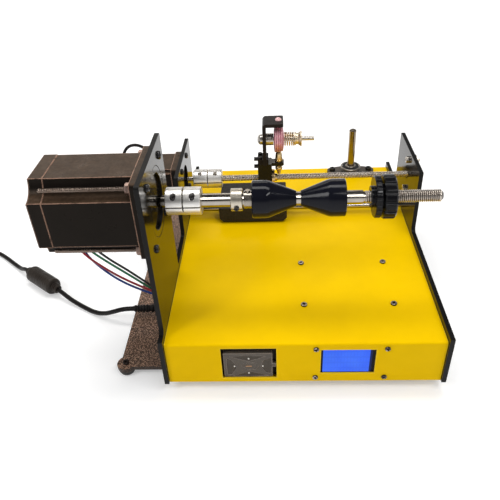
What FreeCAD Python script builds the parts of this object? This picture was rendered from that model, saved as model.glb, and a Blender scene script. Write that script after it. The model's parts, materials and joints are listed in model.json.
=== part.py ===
"""Bench coil winding machine: motor-driven winding spindle, lead-screw traverse and wire tensioner.

Millimetres, +X towards the free end of the spindle, +Y to the back, +Z up. The parts are laid out about
the middle of the folded cover's front foot, and are then moved so that the origin is the bottom centre
of the machine without its cords.
"""
import FreeCAD, Part
import math
import os

Vector = FreeCAD.Vector
X_AXIS = Vector(1, 0, 0)
Y_AXIS = Vector(0, 1, 0)
Z_AXIS = Vector(0, 0, 1)

# ---------------------------------------------------------------- clearances
RUN = 0.05           # radial running clearance of shafts and rods
FIT_GAP = 0.3        # gap between parts that only lie beside each other
SCREW_GAP = 0.25     # radial clearance of a screw in its hole

# ---------------------------------------------------------------- folded cover
COVER_WIDTH = 294.4
COVER_DEPTH = 387.0
COVER_HEIGHT = 56.5
SHEET = 1.6
BEND_RADIUS = 2.6
FOOT_FLANGE = 14.0

# ---------------------------------------------------------------- base plate and feet
BASE_THICK = 5.0
BASE_LEFT = 60.0     # how far the base reaches out beyond the left side plate, to the middle of its ears
BASE_FRONT = 29.0    # middle of the front ears
BASE_BACK_INSET = 42.0   # middle of the back ears from the back of the cover
EAR_RADIUS = 10.5
EAR_INSET = 4.5
FOOT_RADIUS = 9.5
FOOT_HEIGHT = 9.0
M4_RADIUS = 2.0
M4_HEAD_RADIUS = 3.5
M4_HEAD_HEIGHT = 2.6

# ---------------------------------------------------------------- side plates
PLATE = 5.0
PLATE_GAP = 0.3
PLATE_PROUD = 3.0    # how far the plates reach in front of and behind the cover
LEDGE_RISE = 6.5     # how far the plates stand above the deck
TOWER_WIDTH = 118.0
MOTOR_TOWER_FRONT = 12.0
MOTOR_TOWER_RISE = 51.0  # above the spindle
SCREW_TOWER_RISE = 33.0  # above the traverse screw
CORNER = 2.0
INNER_CORNER = 6.0

# ---------------------------------------------------------------- winding spindle
SPINDLE_Y = 75.0
SPINDLE_RISE = 130.5     # above the deck
SPINDLE_RADIUS = 7.0
THREAD_RADIUS = 6.3
THREAD_EASE = 0.2        # the thread under the clamp flange and hand nut is that much finer
THREAD_START = 60.0
SPINDLE_END = 139.0
SPINDLE_CHAMFER = 2.4
MOTOR_SHAFT_RADIUS = 6.0
SHAFT_GAP = 1.5          # from the middle of a coupling to the end of each shaft in it
COUPLING_STAND = 14.5    # coupling from the outer face of the left side plate
COUPLING_LENGTH = 35.7
COUPLING_RADIUS = 14.2
SLIT = 1.4
COLLAR_START = -72.4
COLLAR_LENGTH = 11.8
COLLAR_RADIUS = 11.6
HUB_LENGTH = 8.2
HUB_RADIUS = 9.0
CONE_START = -51.0
CONE_CYLINDER = 13.2
CONE_TAPER = 31.2
CONE_RADIUS = 19.1
CONE_TIP_RADIUS = 7.9
CONE_SHOULDER = 6.0
CONE_GAP = 4.6       # bare shaft between the cone tips
CLAMP_START = 67.4
CLAMP_DISC_RADIUS = 21.3
CLAMP_HUB_RADIUS = 11.0
CLAMP_HUB_LENGTH = 3.2
CLAMP_DISC_LENGTH = 9.8
KNOB_RADIUS = 22.5
KNOB_LENGTH = 13.6
KNOB_NECK = 2.4
KNOB_LOBES = 14
KNOB_NOTCH_RADIUS = 2.4

# ---------------------------------------------------------------- winding motor, 86 mm frame
MOTOR_SIZE = 86.0
MOTOR_NOTCH = 17.5
MOTOR_FLANGE = 10.0
MOTOR_STACK = 86.0
MOTOR_END_CAP = 15.0
MOTOR_BOLTS = 69.6
MOTOR_PILOT_RADIUS = 36.5
MOTOR_PILOT_HEIGHT = 2.0
MOTOR_BOLT_RADIUS = 3.0
MOTOR_BOLT_HEAD = 5.0
MOTOR_BOLT_HEAD_HEIGHT = 5.6
MOTOR_NUT_RADIUS = 5.6
MOTOR_NUT_HEIGHT = 5.0

# ---------------------------------------------------------------- traverse motor, 57 mm frame
SCREW_Y = 255.0
STEP_SIZE = 56.4
STEP_NOTCH = 4.2
STEP_FLANGE = 9.0
STEP_STACK = 24.0
STEP_END_CAP = 8.0
STEP_CAP_STEP = 0.7      # how far the rear cap lies inside the flange's outline
STEP_BOLTS = 47.14
STEP_PILOT_RADIUS = 19.05
STEP_PILOT_HEIGHT = 1.6
STEP_SHAFT_RADIUS = 3.175
STEP_SCREW_RADIUS = 2.4
STEP_HEAD_RADIUS = 4.1
STEP_HEAD_HEIGHT = 4.0

# ---------------------------------------------------------------- traverse screw and guide rod
SCREW_RADIUS = 4.0
SCREW_COUPLING_STAND = 16.6
SCREW_COUPLING_LENGTH = 37.6
SCREW_COUPLING_RADIUS = 12.6
SCREW_END_REACH = 10.5   # beyond the right side plate
ROD_RADIUS = 4.0
ROD_RISE = 10.5          # guide rod above the deck
ROD_DROP = 47.0          # guide rod below the traverse screw

# ---------------------------------------------------------------- flange bearings
SCREW_BEARING_SPACING = 42.0
SCREW_BEARING_BOSS = 11.5
SCREW_BEARING_EAR = 6.5
SCREW_BEARING_BASE = 4.0
SCREW_BEARING_HEIGHT = 8.5
POST_BEARING_SPACING = 55.0
POST_BEARING_BOSS = 15.5
POST_BEARING_EAR = 8.0
POST_BEARING_BASE = 5.5
POST_BEARING_HEIGHT = 11.5
BEARING_BOLT_RADIUS = 2.5
BEARING_BOLT_HEAD = 4.4
BEARING_BOLT_HEAD_HEIGHT = 3.6

# ---------------------------------------------------------------- spool post
POST_X = 89.4
POST_INSET = 18.0        # from the back of the cover
POST_RADIUS = 5.2
POST_JOURNAL_RADIUS = 5.0
POST_HEIGHT = 71.5       # above the deck
POST_CHAMFER = 1.2

# ---------------------------------------------------------------- carriage
CARRIAGE_LEFT = -104.0
CARRIAGE_WIDTH = 92.0
CARRIAGE_FRONT = 232.0
CARRIAGE_DEPTH = 70.0
CARRIAGE_GAP = 2.3       # above the deck
CARRIAGE_THICK = 21.2
CARRIAGE_CHAMFER = 5.0
BUSH_RADIUS = 5.6
BUSH_LENGTH = 22.0
NUT_BLOCK_LEFT = -49.6
NUT_BLOCK_WIDTH = 18.4
NUT_BLOCK_DEPTH = 20.0
NUT_BLOCK_RISE = 24.0    # above the traverse screw
TABLE_REACH = 34.3       # width of the table on top of the nut block
TABLE_DEPTH = 13.0
TABLE_THICK = 4.4
NUT_FLANGE_RADIUS = 11.0
NUT_FLANGE_LENGTH = 3.5
NUT_BODY_RADIUS = 5.1
NUT_NOSE = 3.0
CARRIAGE_SCREW_RADIUS = 1.5
CARRIAGE_HEAD_RADIUS = 2.6
BLOCK_SCREW_DROP = 7.0   # below the top of the nut block
BRACKET_SCREW_SPACING = 12.0

# ---------------------------------------------------------------- tensioner
BRACKET_X = -42.4        # outer face of the upright
BRACKET_THICK = 4.4
BRACKET_DEPTH = 28.0
BRACKET_HEIGHT = 57.0    # above the nut block
BRACKET_ARM = 26.6
BRACKET_BEND = 4.6
BRACKET_FOOT_LEFT = -49.4
BRACKET_FOOT_RIGHT = -35.6
BRACKET_FOOT_THICK = 7.0
EYELET_X = -22.0
EYELET_RADIUS = 4.2
EYELET_BORE = 1.6
TENSION_RISE = 31.0      # above the nut block
STUD_RADIUS = 2.75
STUD_END = 23.5
STUD_NUT_RADIUS = 6.6
STUD_NUT_LENGTH = 6.5
SPACER_RADIUS = 7.7
SPACER_LENGTH = 9.6
DISC_RADIUS = 16.7
DISC_LENGTH = 13.0
SPRING_RADIUS = 8.2
SPRING_WIRE = 0.9
SPRING_LENGTH = 13.0
SPRING_TURNS = 5
THUMB_LENGTH = 9.0
THUMB_RADIUS = 7.2
THUMB_RIM_RADIUS = 9.6
NOZZLE_ABOVE = 14.5      # above the nut block's table
NOZZLE_BELOW = 18.4
NOZZLE_RADIUS = 3.0
NOZZLE_HEAD_RADIUS = 5.0
NOZZLE_BORE = 1.2

# ---------------------------------------------------------------- front panel
LCD_X = 46.3
LCD_UP = 2.0             # window above the middle of its holes
LCD_WIDTH = 57.5
LCD_FRAME = 7.1          # how much lower the window is than the spacing of its holes
LCD_HOLES_X = 73.8
LCD_HOLES_MID_X = 49.2
LCD_HOLES_LOW = 6.7      # lower holes from the cover's foot
LCD_HOLES_DROP = 7.4     # upper holes from the deck
LCD_BODY_DEPTH = 9.0
GLASS = 1.4
PAD_X = -58.8
PAD_WIDTH = 58.8
PAD_LOW = 6.0            # keypad opening from the cover's foot
PAD_DROP = 5.9           # keypad opening from the deck
PAD_FACE_WIDTH = 51.5
PAD_FRAME_HEAD = 11.2    # frame above the recessed face
PAD_FRAME_FOOT = 1.0     # frame below it
PAD_FRAME_RECESS = 0.8
PAD_FACE_RECESS = 3.2
PAD_DEPTH = 8.0
KEY_STEP_X = 14.0
KEY_MARGIN = 2.4         # upper and lower keys from the edge of the face
KEY_TRAVEL = 0.8
KEY_PROUD = 1.6
KEY_REACH_X = 8.6
KEY_REACH_Z = 6.4
KEY_SPAN_X = 9.5
KEY_SPAN_Z = 7.4
CENTRE_KEY_RADIUS_X = 6.0
CENTRE_KEY_RADIUS_Z = 3.6
M3_RADIUS = 1.5
M3_HEAD_RADIUS = 2.9
M3_HEAD_HEIGHT = 1.6
DECK_SCREW_RADIUS = 2.0
DECK_HEAD_RADIUS = 3.5
DECK_HEAD_HEIGHT = 2.1
DECK_HOLES_X = (2.6, 102.2)
DECK_HOLES_Y = (61.0, 138.0)

# ---------------------------------------------------------------- electronics
BOARD_SIZE = (106.0, 94.0, 1.6)
BOARD_LIFT = 10.0
STANDOFF_RADIUS = 3.4
# blocks on the board: left, front, width, depth and height, from the board's middle
HEAT_SINK = (-30.4, -20.0, 36.0, 30.0, 9.0)
TRANSFORMER = (13.6, -25.0, 30.0, 45.0, 14.0)
TERMINALS = (-48.4, 14.0, 56.0, 22.0, 11.0)
JACK_Y = 112.0
JACK_Z = 9.5
JACK_RADIUS = 6.2
JACK_LENGTH = 24.0
JACK_FLANGE_RADIUS = 8.0
JACK_FLANGE = 2.0
WIRE_HOLE_Y = 127.0
WIRE_HOLE_Z = 13.0
WIRE_HOLE_RADIUS = 5.0
CABLE_HOLE_Y = 210.0
CABLE_HOLE_Z = 10.0
CABLE_HOLE_RADIUS = 3.2

# ---------------------------------------------------------------- power lead and wires
LEAD_RADIUS = 3.0
PLUG_BODY_RADIUS = 5.4
PLUG_LENGTH = 34.0
PLUG_RELIEF_LENGTH = 20.0
PLUG_PIN_RADIUS = 2.75
PLUG_PIN_LENGTH = 9.5
FERRITE_RADIUS = 11.5
FERRITE_LENGTH = 52.0
FERRITE_SLEEVE = 9.0
WIRE_RADIUS = 1.4
CABLE_RADIUS = 2.0
COIL_MID_RADIUS = 33.0
COIL_TURNS_ACROSS = 3
COIL_TURNS_UP = 2

# worked out from the driving dimensions
INNER = COVER_WIDTH / 2 + PLATE_GAP      # inner faces of the side plates
OUTER = INNER + PLATE
GROUND = -BASE_THICK - FOOT_HEIGHT
BASE_BACK = COVER_DEPTH - BASE_BACK_INSET
PLATE_LEDGE = COVER_HEIGHT + LEDGE_RISE
SPINDLE_Z = COVER_HEIGHT + SPINDLE_RISE
ROD_Z = COVER_HEIGHT + ROD_RISE
SCREW_Z = ROD_Z + ROD_DROP
MOTOR_TOWER_TOP = SPINDLE_Z + MOTOR_TOWER_RISE
SCREW_TOWER_TOP = SCREW_Z + SCREW_TOWER_RISE
SCREW_TOWER_FRONT = SCREW_Y - TOWER_WIDTH / 2
COUPLING_START = -OUTER + COUPLING_STAND
SPINDLE_START = COUPLING_START + COUPLING_LENGTH / 2 + SHAFT_GAP
FREE_THREAD_START = CLAMP_START + CLAMP_DISC_LENGTH + KNOB_LENGTH + KNOB_NECK + 4 * FIT_GAP
SCREW_COUPLING_START = -OUTER + SCREW_COUPLING_STAND
POST_Y = COVER_DEPTH - POST_INSET
POST_TOP = COVER_HEIGHT + POST_HEIGHT
CARRIAGE_BOTTOM = COVER_HEIGHT + CARRIAGE_GAP
CARRIAGE_TOP = CARRIAGE_BOTTOM + CARRIAGE_THICK
NUT_BLOCK_TOP = SCREW_Z + NUT_BLOCK_RISE
BRACKET_TOP = NUT_BLOCK_TOP + BRACKET_HEIGHT
TENSION_Z = NUT_BLOCK_TOP + TENSION_RISE
NOZZLE_TOP = NUT_BLOCK_TOP + NOZZLE_ABOVE
NOZZLE_BOTTOM = NUT_BLOCK_TOP - NOZZLE_BELOW
LCD_HOLES_Z = COVER_HEIGHT - LCD_HOLES_LOW - LCD_HOLES_DROP
LCD_HOLES_MID = (LCD_HOLES_MID_X, LCD_HOLES_LOW + LCD_HOLES_Z / 2)
LCD_HEIGHT = LCD_HOLES_Z - LCD_FRAME
LCD_Z = LCD_HOLES_MID[1] + LCD_UP
PAD_HEIGHT = COVER_HEIGHT - PAD_LOW - PAD_DROP
PAD_Z = PAD_LOW + PAD_HEIGHT / 2
PAD_FACE_HEIGHT = PAD_HEIGHT - PAD_FRAME_HEAD - PAD_FRAME_FOOT
PAD_FACE_Z = PAD_LOW + PAD_FRAME_FOOT + PAD_FACE_HEIGHT / 2
KEY_STEP_Z = PAD_FACE_HEIGHT / 2 - KEY_REACH_Z / 2 - KEY_MARGIN
CONE_LENGTH = CONE_CYLINDER + CONE_TAPER
RIGHT_CONE_START = CONE_START + CONE_LENGTH + CONE_GAP
PLUG_TAIL = -OUTER - JACK_FLANGE - FIT_GAP - PLUG_LENGTH - PLUG_RELIEF_LENGTH


# ================================================================ shape helpers
def block(low, high):
    """Box between two corners."""
    return Part.makeBox(high[0] - low[0], high[1] - low[1], high[2] - low[2], Vector(*low))


def rod(radius, length, start, direction=X_AXIS):
    """Cylinder from a start point along a direction."""
    return Part.makeCylinder(radius, length, Vector(*start), direction)


def revolved(profile, centre, direction):
    """Solid of revolution: profile lists (distance along the direction, radius)."""
    side = X_AXIS if abs(direction.dot(X_AXIS)) < 0.5 else Z_AXIS
    centre = Vector(*centre)
    points = [centre + direction * along + side * radius for along, radius in profile]
    face = Part.Face(Part.makePolygon(points + points[:1]))
    return face.revolve(centre, direction, 360)


def prism(points, start, travel):
    """Polygon in the plane normal to X, at x = start, pushed along X."""
    corners = [Vector(start, y, z) for y, z in points]
    return Part.Face(Part.makePolygon(corners + corners[:1])).extrude(X_AXIS * travel)


def hexagon(radius, length, start, direction):
    """Hexagonal prism with its corners on the radius."""
    side = X_AXIS if abs(direction.dot(X_AXIS)) < 0.5 else Z_AXIS
    other = direction.cross(side)
    start = Vector(*start)
    corners = []
    for i in range(7):
        turn = math.radians(60 * i)
        corners.append(start + side * (radius * math.cos(turn)) + other * (radius * math.sin(turn)))
    return Part.Face(Part.makePolygon(corners)).extrude(direction * length)


def cap_screw(radius, length, head_radius, head_height, seat, direction):
    """Socket cap screw: its head stands off the seat, and its shank runs along the direction."""
    seat = Vector(*seat)
    head = Part.makeCylinder(head_radius, head_height, seat, -direction)
    rim = [e for e in head.Edges if e.Curve.TypeId == "Part::GeomCircle"
           and abs((e.Curve.Center - seat).dot(direction) + head_height) < 1e-6]
    head = head.makeFillet(0.15 * head_radius, rim)
    shank = Part.makeCylinder(radius, length, seat, direction)
    socket = hexagon(0.52 * head_radius, 0.6 * head_height, seat - direction * head_height, direction)
    return head.fuse(shank).removeSplitter().cut(socket)


def edges_along(shape, direction, test):
    """Straight edges along a direction whose midpoint passes a test."""
    found = []
    for edge in shape.Edges:
        if edge.Curve.TypeId != "Part::GeomLine":
            continue
        if abs(abs(edge.Curve.Direction.dot(direction)) - 1) < 1e-6 and test(edge.CenterOfMass):
            found.append(edge)
    return found


def joined(shapes):
    """Overlapping shapes made into one solid."""
    first, rest = shapes[0], shapes[1:]
    return first.multiFuse(rest).removeSplitter()


def group(shapes):
    """Separate solids kept in one node."""
    return Part.makeCompound(shapes)


def four(middle_a, middle_b, step_a, step_b):
    """Corners of a rectangle of holes."""
    return [(middle_a + i * step_a / 2, middle_b + j * step_b / 2) for i in (-1, 1) for j in (-1, 1)]


# ================================================================ base, feet and cover
def base_outline_points():
    """Middles of the ears at the four corners of the base."""
    left = -OUTER - BASE_LEFT + EAR_RADIUS
    right = INNER - EAR_RADIUS - FOOT_FLANGE
    return [(x, y) for x in (left, right) for y in (BASE_FRONT, BASE_BACK)]


def base_plate():
    ears = base_outline_points()
    left, right = ears[0][0] - EAR_RADIUS + EAR_INSET, ears[2][0] + EAR_RADIUS - EAR_INSET
    front, back = BASE_FRONT - EAR_RADIUS + EAR_INSET, BASE_BACK + EAR_RADIUS - EAR_INSET
    plate = joined([block((left, front, -BASE_THICK), (right, back, 0))]
                   + [rod(EAR_RADIUS, BASE_THICK, (x, y, -BASE_THICK), Z_AXIS) for x, y in ears])
    for x, y in ears:
        plate = plate.cut(rod(M4_RADIUS + SCREW_GAP, BASE_THICK, (x, y, -BASE_THICK), Z_AXIS))
    return plate


def rubber_feet():
    feet = []
    for x, y in base_outline_points():
        profile = [(0, 0), (0, 0.62 * FOOT_RADIUS), (0.25 * FOOT_HEIGHT, 0.86 * FOOT_RADIUS),
                   (0.6 * FOOT_HEIGHT, FOOT_RADIUS), (FOOT_HEIGHT, FOOT_RADIUS), (FOOT_HEIGHT, 0)]
        foot = revolved(profile, (x, y, GROUND), Z_AXIS)
        feet.append(foot.cut(rod(M4_RADIUS + SCREW_GAP, FOOT_HEIGHT, (x, y, GROUND + 3), Z_AXIS)))
    return group(feet)


def machine_screws():
    """Foot screws, side-plate screws, display screws and deck screws."""
    down = -Z_AXIS
    back = Y_AXIS
    screws = [cap_screw(M4_RADIUS, BASE_THICK + 4, M4_HEAD_RADIUS, M4_HEAD_HEIGHT, (x, y, 0), down)
              for x, y in base_outline_points()]
    screws += [cap_screw(M3_RADIUS, 7, M3_HEAD_RADIUS, M3_HEAD_HEIGHT, (x, 0, z), back)
               for x, z in four(*LCD_HOLES_MID, LCD_HOLES_X, LCD_HOLES_Z)]
    screws += [cap_screw(DECK_SCREW_RADIUS, 8, DECK_HEAD_RADIUS, DECK_HEAD_HEIGHT, (x, y, COVER_HEIGHT), down)
               for x in DECK_HOLES_X for y in DECK_HOLES_Y]
    for y, z in side_screw_places():
        screws.append(cap_screw(M3_RADIUS, PLATE + 6, M3_HEAD_RADIUS, M3_HEAD_HEIGHT, (-OUTER, y, z), X_AXIS))
        screws.append(cap_screw(M3_RADIUS, PLATE + 6, M3_HEAD_RADIUS, M3_HEAD_HEIGHT, (OUTER, y, z), -X_AXIS))
    return group(screws)


def side_screw_places():
    """Screws that hold the side plates to the cover's inner brackets."""
    return [(y, 0.5 * COVER_HEIGHT) for y in (30.0, COVER_DEPTH / 2, COVER_DEPTH - 30.0)]


def folded_sheet(inset):
    """Outer skin of the cover, or the space inside it when inset by the sheet."""
    half = COVER_WIDTH / 2
    solid = block((-half, inset, FIT_GAP), (half, COVER_DEPTH - inset, COVER_HEIGHT - inset))
    top = edges_along(solid, X_AXIS, lambda c: c.z > COVER_HEIGHT / 2)
    return solid.makeFillet(BEND_RADIUS - inset, top)


def bracket_space():
    """Corner blocks inside the cover that the side-plate screws bite into."""
    blocks = []
    half = COVER_WIDTH / 2
    for y, z in side_screw_places():
        for side in (-1, 1):
            near, far = sorted((side * half, side * (half - 8)))
            lug = block((near, y - 6, z - 6), (far, y + 6, COVER_HEIGHT - SHEET / 2))
            blocks.append(lug.cut(rod(M3_RADIUS, 8, (near, y, z))))
    return blocks


def deck_cover():
    half = COVER_WIDTH / 2
    shell = folded_sheet(0).cut(folded_sheet(SHEET))
    flanges = [block((-half, y, FIT_GAP), (half, y + FOOT_FLANGE, FIT_GAP + SHEET))
               for y in (SHEET / 2, COVER_DEPTH - SHEET / 2 - FOOT_FLANGE)]
    shell = joined([shell] + flanges + bracket_space())
    cuts = [block((LCD_X - LCD_WIDTH / 2, -1, LCD_Z - LCD_HEIGHT / 2),
                  (LCD_X + LCD_WIDTH / 2, SHEET + 1, LCD_Z + LCD_HEIGHT / 2)),
            block((PAD_X - PAD_WIDTH / 2, -1, PAD_Z - PAD_HEIGHT / 2),
                  (PAD_X + PAD_WIDTH / 2, SHEET + 1, PAD_Z + PAD_HEIGHT / 2))]
    cuts += [rod(M3_RADIUS + SCREW_GAP, SHEET + 2, (x, -1, z), Y_AXIS)
             for x, z in four(*LCD_HOLES_MID, LCD_HOLES_X, LCD_HOLES_Z)]
    deck_top = COVER_HEIGHT - SHEET - 1
    cuts += [rod(DECK_SCREW_RADIUS + SCREW_GAP, SHEET + 2, (x, y, deck_top), Z_AXIS)
             for x in DECK_HOLES_X for y in DECK_HOLES_Y]
    cuts += [rod(BEARING_BOLT_RADIUS + SCREW_GAP, SHEET + 2, (x, POST_Y, deck_top), Z_AXIS)
             for x in post_bolt_places()]
    return shell.cut(group(cuts))


# ================================================================ side plates
def plate_outline(towers):
    """Side-plate outline in Y and Z: a low plate with rectangular towers (front, top)."""
    points = [(-PLATE_PROUD, 0), (-PLATE_PROUD, PLATE_LEDGE)]
    for front, top in towers:
        points += [(front, PLATE_LEDGE), (front, top), (front + TOWER_WIDTH, top),
                   (front + TOWER_WIDTH, PLATE_LEDGE)]
    end = COVER_DEPTH + PLATE_PROUD
    return points + [(end, PLATE_LEDGE), (end, 0)]


def side_plate(start, towers):
    plate = prism(plate_outline(towers), start, PLATE)
    tops = edges_along(plate, X_AXIS, lambda c: c.z > PLATE_LEDGE + 1)
    plate = plate.makeFillet(CORNER, tops)
    roots = edges_along(plate, X_AXIS, lambda c: abs(c.z - PLATE_LEDGE) < 0.1
                        and 0 < c.y < COVER_DEPTH)
    plate = plate.makeFillet(INNER_CORNER, roots)
    holes = [rod(M3_RADIUS + SCREW_GAP, PLATE, (start, y, z)) for y, z in side_screw_places()]
    holes.append(rod(ROD_RADIUS + RUN, PLATE, (start, SCREW_Y, ROD_Z)))
    return plate.cut(group(holes))


def left_side_plate():
    plate = side_plate(-OUTER, [(MOTOR_TOWER_FRONT, MOTOR_TOWER_TOP), (SCREW_TOWER_FRONT, SCREW_TOWER_TOP)])
    holes = [rod(MOTOR_PILOT_RADIUS + RUN, PLATE, (-OUTER, SPINDLE_Y, SPINDLE_Z)),
             rod(STEP_PILOT_RADIUS + RUN, PLATE, (-OUTER, SCREW_Y, SCREW_Z)),
             rod(JACK_RADIUS + SCREW_GAP, PLATE, (-OUTER, JACK_Y, JACK_Z)),
             rod(WIRE_HOLE_RADIUS, PLATE, (-OUTER, WIRE_HOLE_Y, WIRE_HOLE_Z)),
             rod(CABLE_HOLE_RADIUS, PLATE, (-OUTER, CABLE_HOLE_Y, CABLE_HOLE_Z))]
    holes += [rod(MOTOR_BOLT_RADIUS + SCREW_GAP, PLATE, (-OUTER, y, z))
              for y, z in four(SPINDLE_Y, SPINDLE_Z, MOTOR_BOLTS, MOTOR_BOLTS)]
    holes += [rod(STEP_SCREW_RADIUS + SCREW_GAP, PLATE, (-OUTER, y, z))
              for y, z in four(SCREW_Y, SCREW_Z, STEP_BOLTS, STEP_BOLTS)]
    return plate.cut(group(holes))


def right_side_plate():
    plate = side_plate(INNER, [(SCREW_TOWER_FRONT, SCREW_TOWER_TOP)])
    holes = [rod(SCREW_RADIUS + 2, PLATE, (INNER, SCREW_Y, SCREW_Z))]
    holes += [rod(BEARING_BOLT_RADIUS + SCREW_GAP, PLATE, (INNER, SCREW_Y, z)) for z in screw_bolt_heights()]
    return plate.cut(group(holes))


# ================================================================ winding motor
def notched_square(size, notch, start, length, middle):
    """Square motor section whose corners are scooped out by a round notch."""
    half = size / 2
    body = block((start, middle[0] - half, middle[1] - half),
                 (start + length, middle[0] + half, middle[1] + half))
    scoops = [rod(notch, length, (start, y, z)) for y, z in four(middle[0], middle[1], size, size)]
    return body.cut(group(scoops))


def rounded_square(size, radius, start, length, middle):
    half = size / 2
    body = block((start, middle[0] - half, middle[1] - half),
                 (start + length, middle[0] + half, middle[1] + half))
    return body.makeFillet(radius, edges_along(body, X_AXIS, lambda c: True))


def main_motor_caps():
    """Mounting flange with its pilot, and the rear end cap."""
    middle = (SPINDLE_Y, SPINDLE_Z)
    flange_start = -OUTER - MOTOR_FLANGE
    flange = rounded_square(MOTOR_SIZE, 4.0, flange_start, MOTOR_FLANGE, middle)
    pilot = rod(MOTOR_PILOT_RADIUS, MOTOR_PILOT_HEIGHT, (-OUTER, *middle))
    bore = rod(MOTOR_SHAFT_RADIUS + RUN, MOTOR_FLANGE + MOTOR_PILOT_HEIGHT, (flange_start, *middle))
    flange = joined([flange, pilot]).cut(bore)
    holes = [rod(MOTOR_BOLT_RADIUS + SCREW_GAP, MOTOR_FLANGE, (flange_start, y, z))
             for y, z in four(*middle, MOTOR_BOLTS, MOTOR_BOLTS)]
    cap_start = flange_start - MOTOR_STACK - MOTOR_END_CAP
    cap = notched_square(MOTOR_SIZE, MOTOR_NOTCH, cap_start, MOTOR_END_CAP, middle)
    edges = [e for e in cap.Edges if abs(e.CenterOfMass.x - cap_start) < 1e-6]
    return group([flange.cut(group(holes)), cap.makeChamfer(1.2, edges)])


def main_motor_body():
    start = -OUTER - MOTOR_FLANGE - MOTOR_STACK
    return notched_square(MOTOR_SIZE - 0.8, MOTOR_NOTCH, start, MOTOR_STACK, (SPINDLE_Y, SPINDLE_Z))


def main_motor_bolts():
    """Bolts from the inner face of the side plate, with their nuts behind the flange."""
    bolts = []
    for y, z in four(SPINDLE_Y, SPINDLE_Z, MOTOR_BOLTS, MOTOR_BOLTS):
        reach = PLATE + MOTOR_FLANGE + MOTOR_NUT_HEIGHT + 1
        bolt = cap_screw(MOTOR_BOLT_RADIUS, reach, MOTOR_BOLT_HEAD, MOTOR_BOLT_HEAD_HEIGHT,
                         (-INNER, y, z), -X_AXIS)
        nut = hexagon(MOTOR_NUT_RADIUS, MOTOR_NUT_HEIGHT, (-OUTER - MOTOR_FLANGE, y, z), -X_AXIS)
        bolts.append(joined([bolt, nut]))
    return group(bolts)


# ================================================================ spindle
def split_coupling(start, length, radius, left_radius, right_radius, middle):
    """Clamp coupling: two bores meeting in the middle, a relief slit across and one along."""
    centre = start + length / 2
    body = rod(radius, length, (start, *middle))
    ends = [e for e in body.Edges if e.Curve.TypeId == "Part::GeomCircle"]
    body = body.makeChamfer(0.6, ends)
    cuts = [rod(left_radius + RUN, length / 2, (start, *middle)),
            rod(right_radius + RUN, length / 2, (centre, *middle))]
    y, z = middle
    cuts.append(block((centre - SLIT / 2, y - radius, z - radius * 0.35),
                      (centre + SLIT / 2, y + radius, z + radius)))
    cuts.append(block((start, y - radius, z - SLIT / 2), (start + length, y - left_radius / 2, z + SLIT / 2)))
    return body.cut(group(cuts))


def clamp_seats(start, length, radius, bore, middle):
    """Seats of the two clamp screws, above the coupling's slit and in front of its bore."""
    y, z = middle
    front = y - bore - CLAMP_SCREW_OFFSET
    return [(start + share * length, front, z + CLAMP_SEAT * radius) for share in (0.23, 0.77)]


def clamp_screws(start, length, radius, bore, middle, screw_radius):
    """Two clamp screws set into the top front of a coupling."""
    return [cap_screw(0.5 * screw_radius, 0.85 * radius, screw_radius, CLAMP_HEAD_HEIGHT, seat, -Z_AXIS)
            for seat in clamp_seats(start, length, radius, bore, middle)]


def coupling_with_pockets(start, length, radius, left_radius, right_radius, middle, screw_radius):
    coupling = split_coupling(start, length, radius, left_radius, right_radius, middle)
    bore = max(left_radius, right_radius)
    for x, y, z in clamp_seats(start, length, radius, bore, middle):
        pocket = rod(screw_radius + SCREW_GAP, radius, (x, y, z), Z_AXIS)
        hole = rod(0.5 * screw_radius + SCREW_GAP, radius, (x, y, z - radius), Z_AXIS)
        coupling = coupling.cut(pocket).cut(hole)
    return coupling


MAIN_MIDDLE = (SPINDLE_Y, SPINDLE_Z)
SCREW_MIDDLE = (SCREW_Y, SCREW_Z)
MAIN_CLAMP_HEAD = 2.8
SCREW_CLAMP_HEAD = 2.4
CLAMP_SCREW_OFFSET = 2.3
CLAMP_SEAT = 0.5
CLAMP_HEAD_HEIGHT = 2.6


def main_coupling():
    return coupling_with_pockets(COUPLING_START, COUPLING_LENGTH, COUPLING_RADIUS, MOTOR_SHAFT_RADIUS,
                                 SPINDLE_RADIUS, MAIN_MIDDLE, MAIN_CLAMP_HEAD)


def main_motor_shaft():
    start = -OUTER - MOTOR_FLANGE
    end = COUPLING_START + COUPLING_LENGTH / 2 - SHAFT_GAP
    return rod(MOTOR_SHAFT_RADIUS, end - start, (start, *MAIN_MIDDLE))


def spindle_shaft():
    """Ground shaft with its threaded free end, a little finer where the flange and nut are clamped."""
    seat = THREAD_RADIUS - THREAD_EASE
    profile = [(SPINDLE_START, 0), (SPINDLE_START, SPINDLE_RADIUS - 0.5), (SPINDLE_START + 0.5, SPINDLE_RADIUS),
               (THREAD_START, SPINDLE_RADIUS), (THREAD_START, seat),
               (FREE_THREAD_START, seat), (FREE_THREAD_START, THREAD_RADIUS),
               (SPINDLE_END - SPINDLE_CHAMFER, THREAD_RADIUS),
               (SPINDLE_END, THREAD_RADIUS - SPINDLE_CHAMFER), (SPINDLE_END, 0)]
    return revolved(profile, (0, *MAIN_MIDDLE), X_AXIS)


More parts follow.
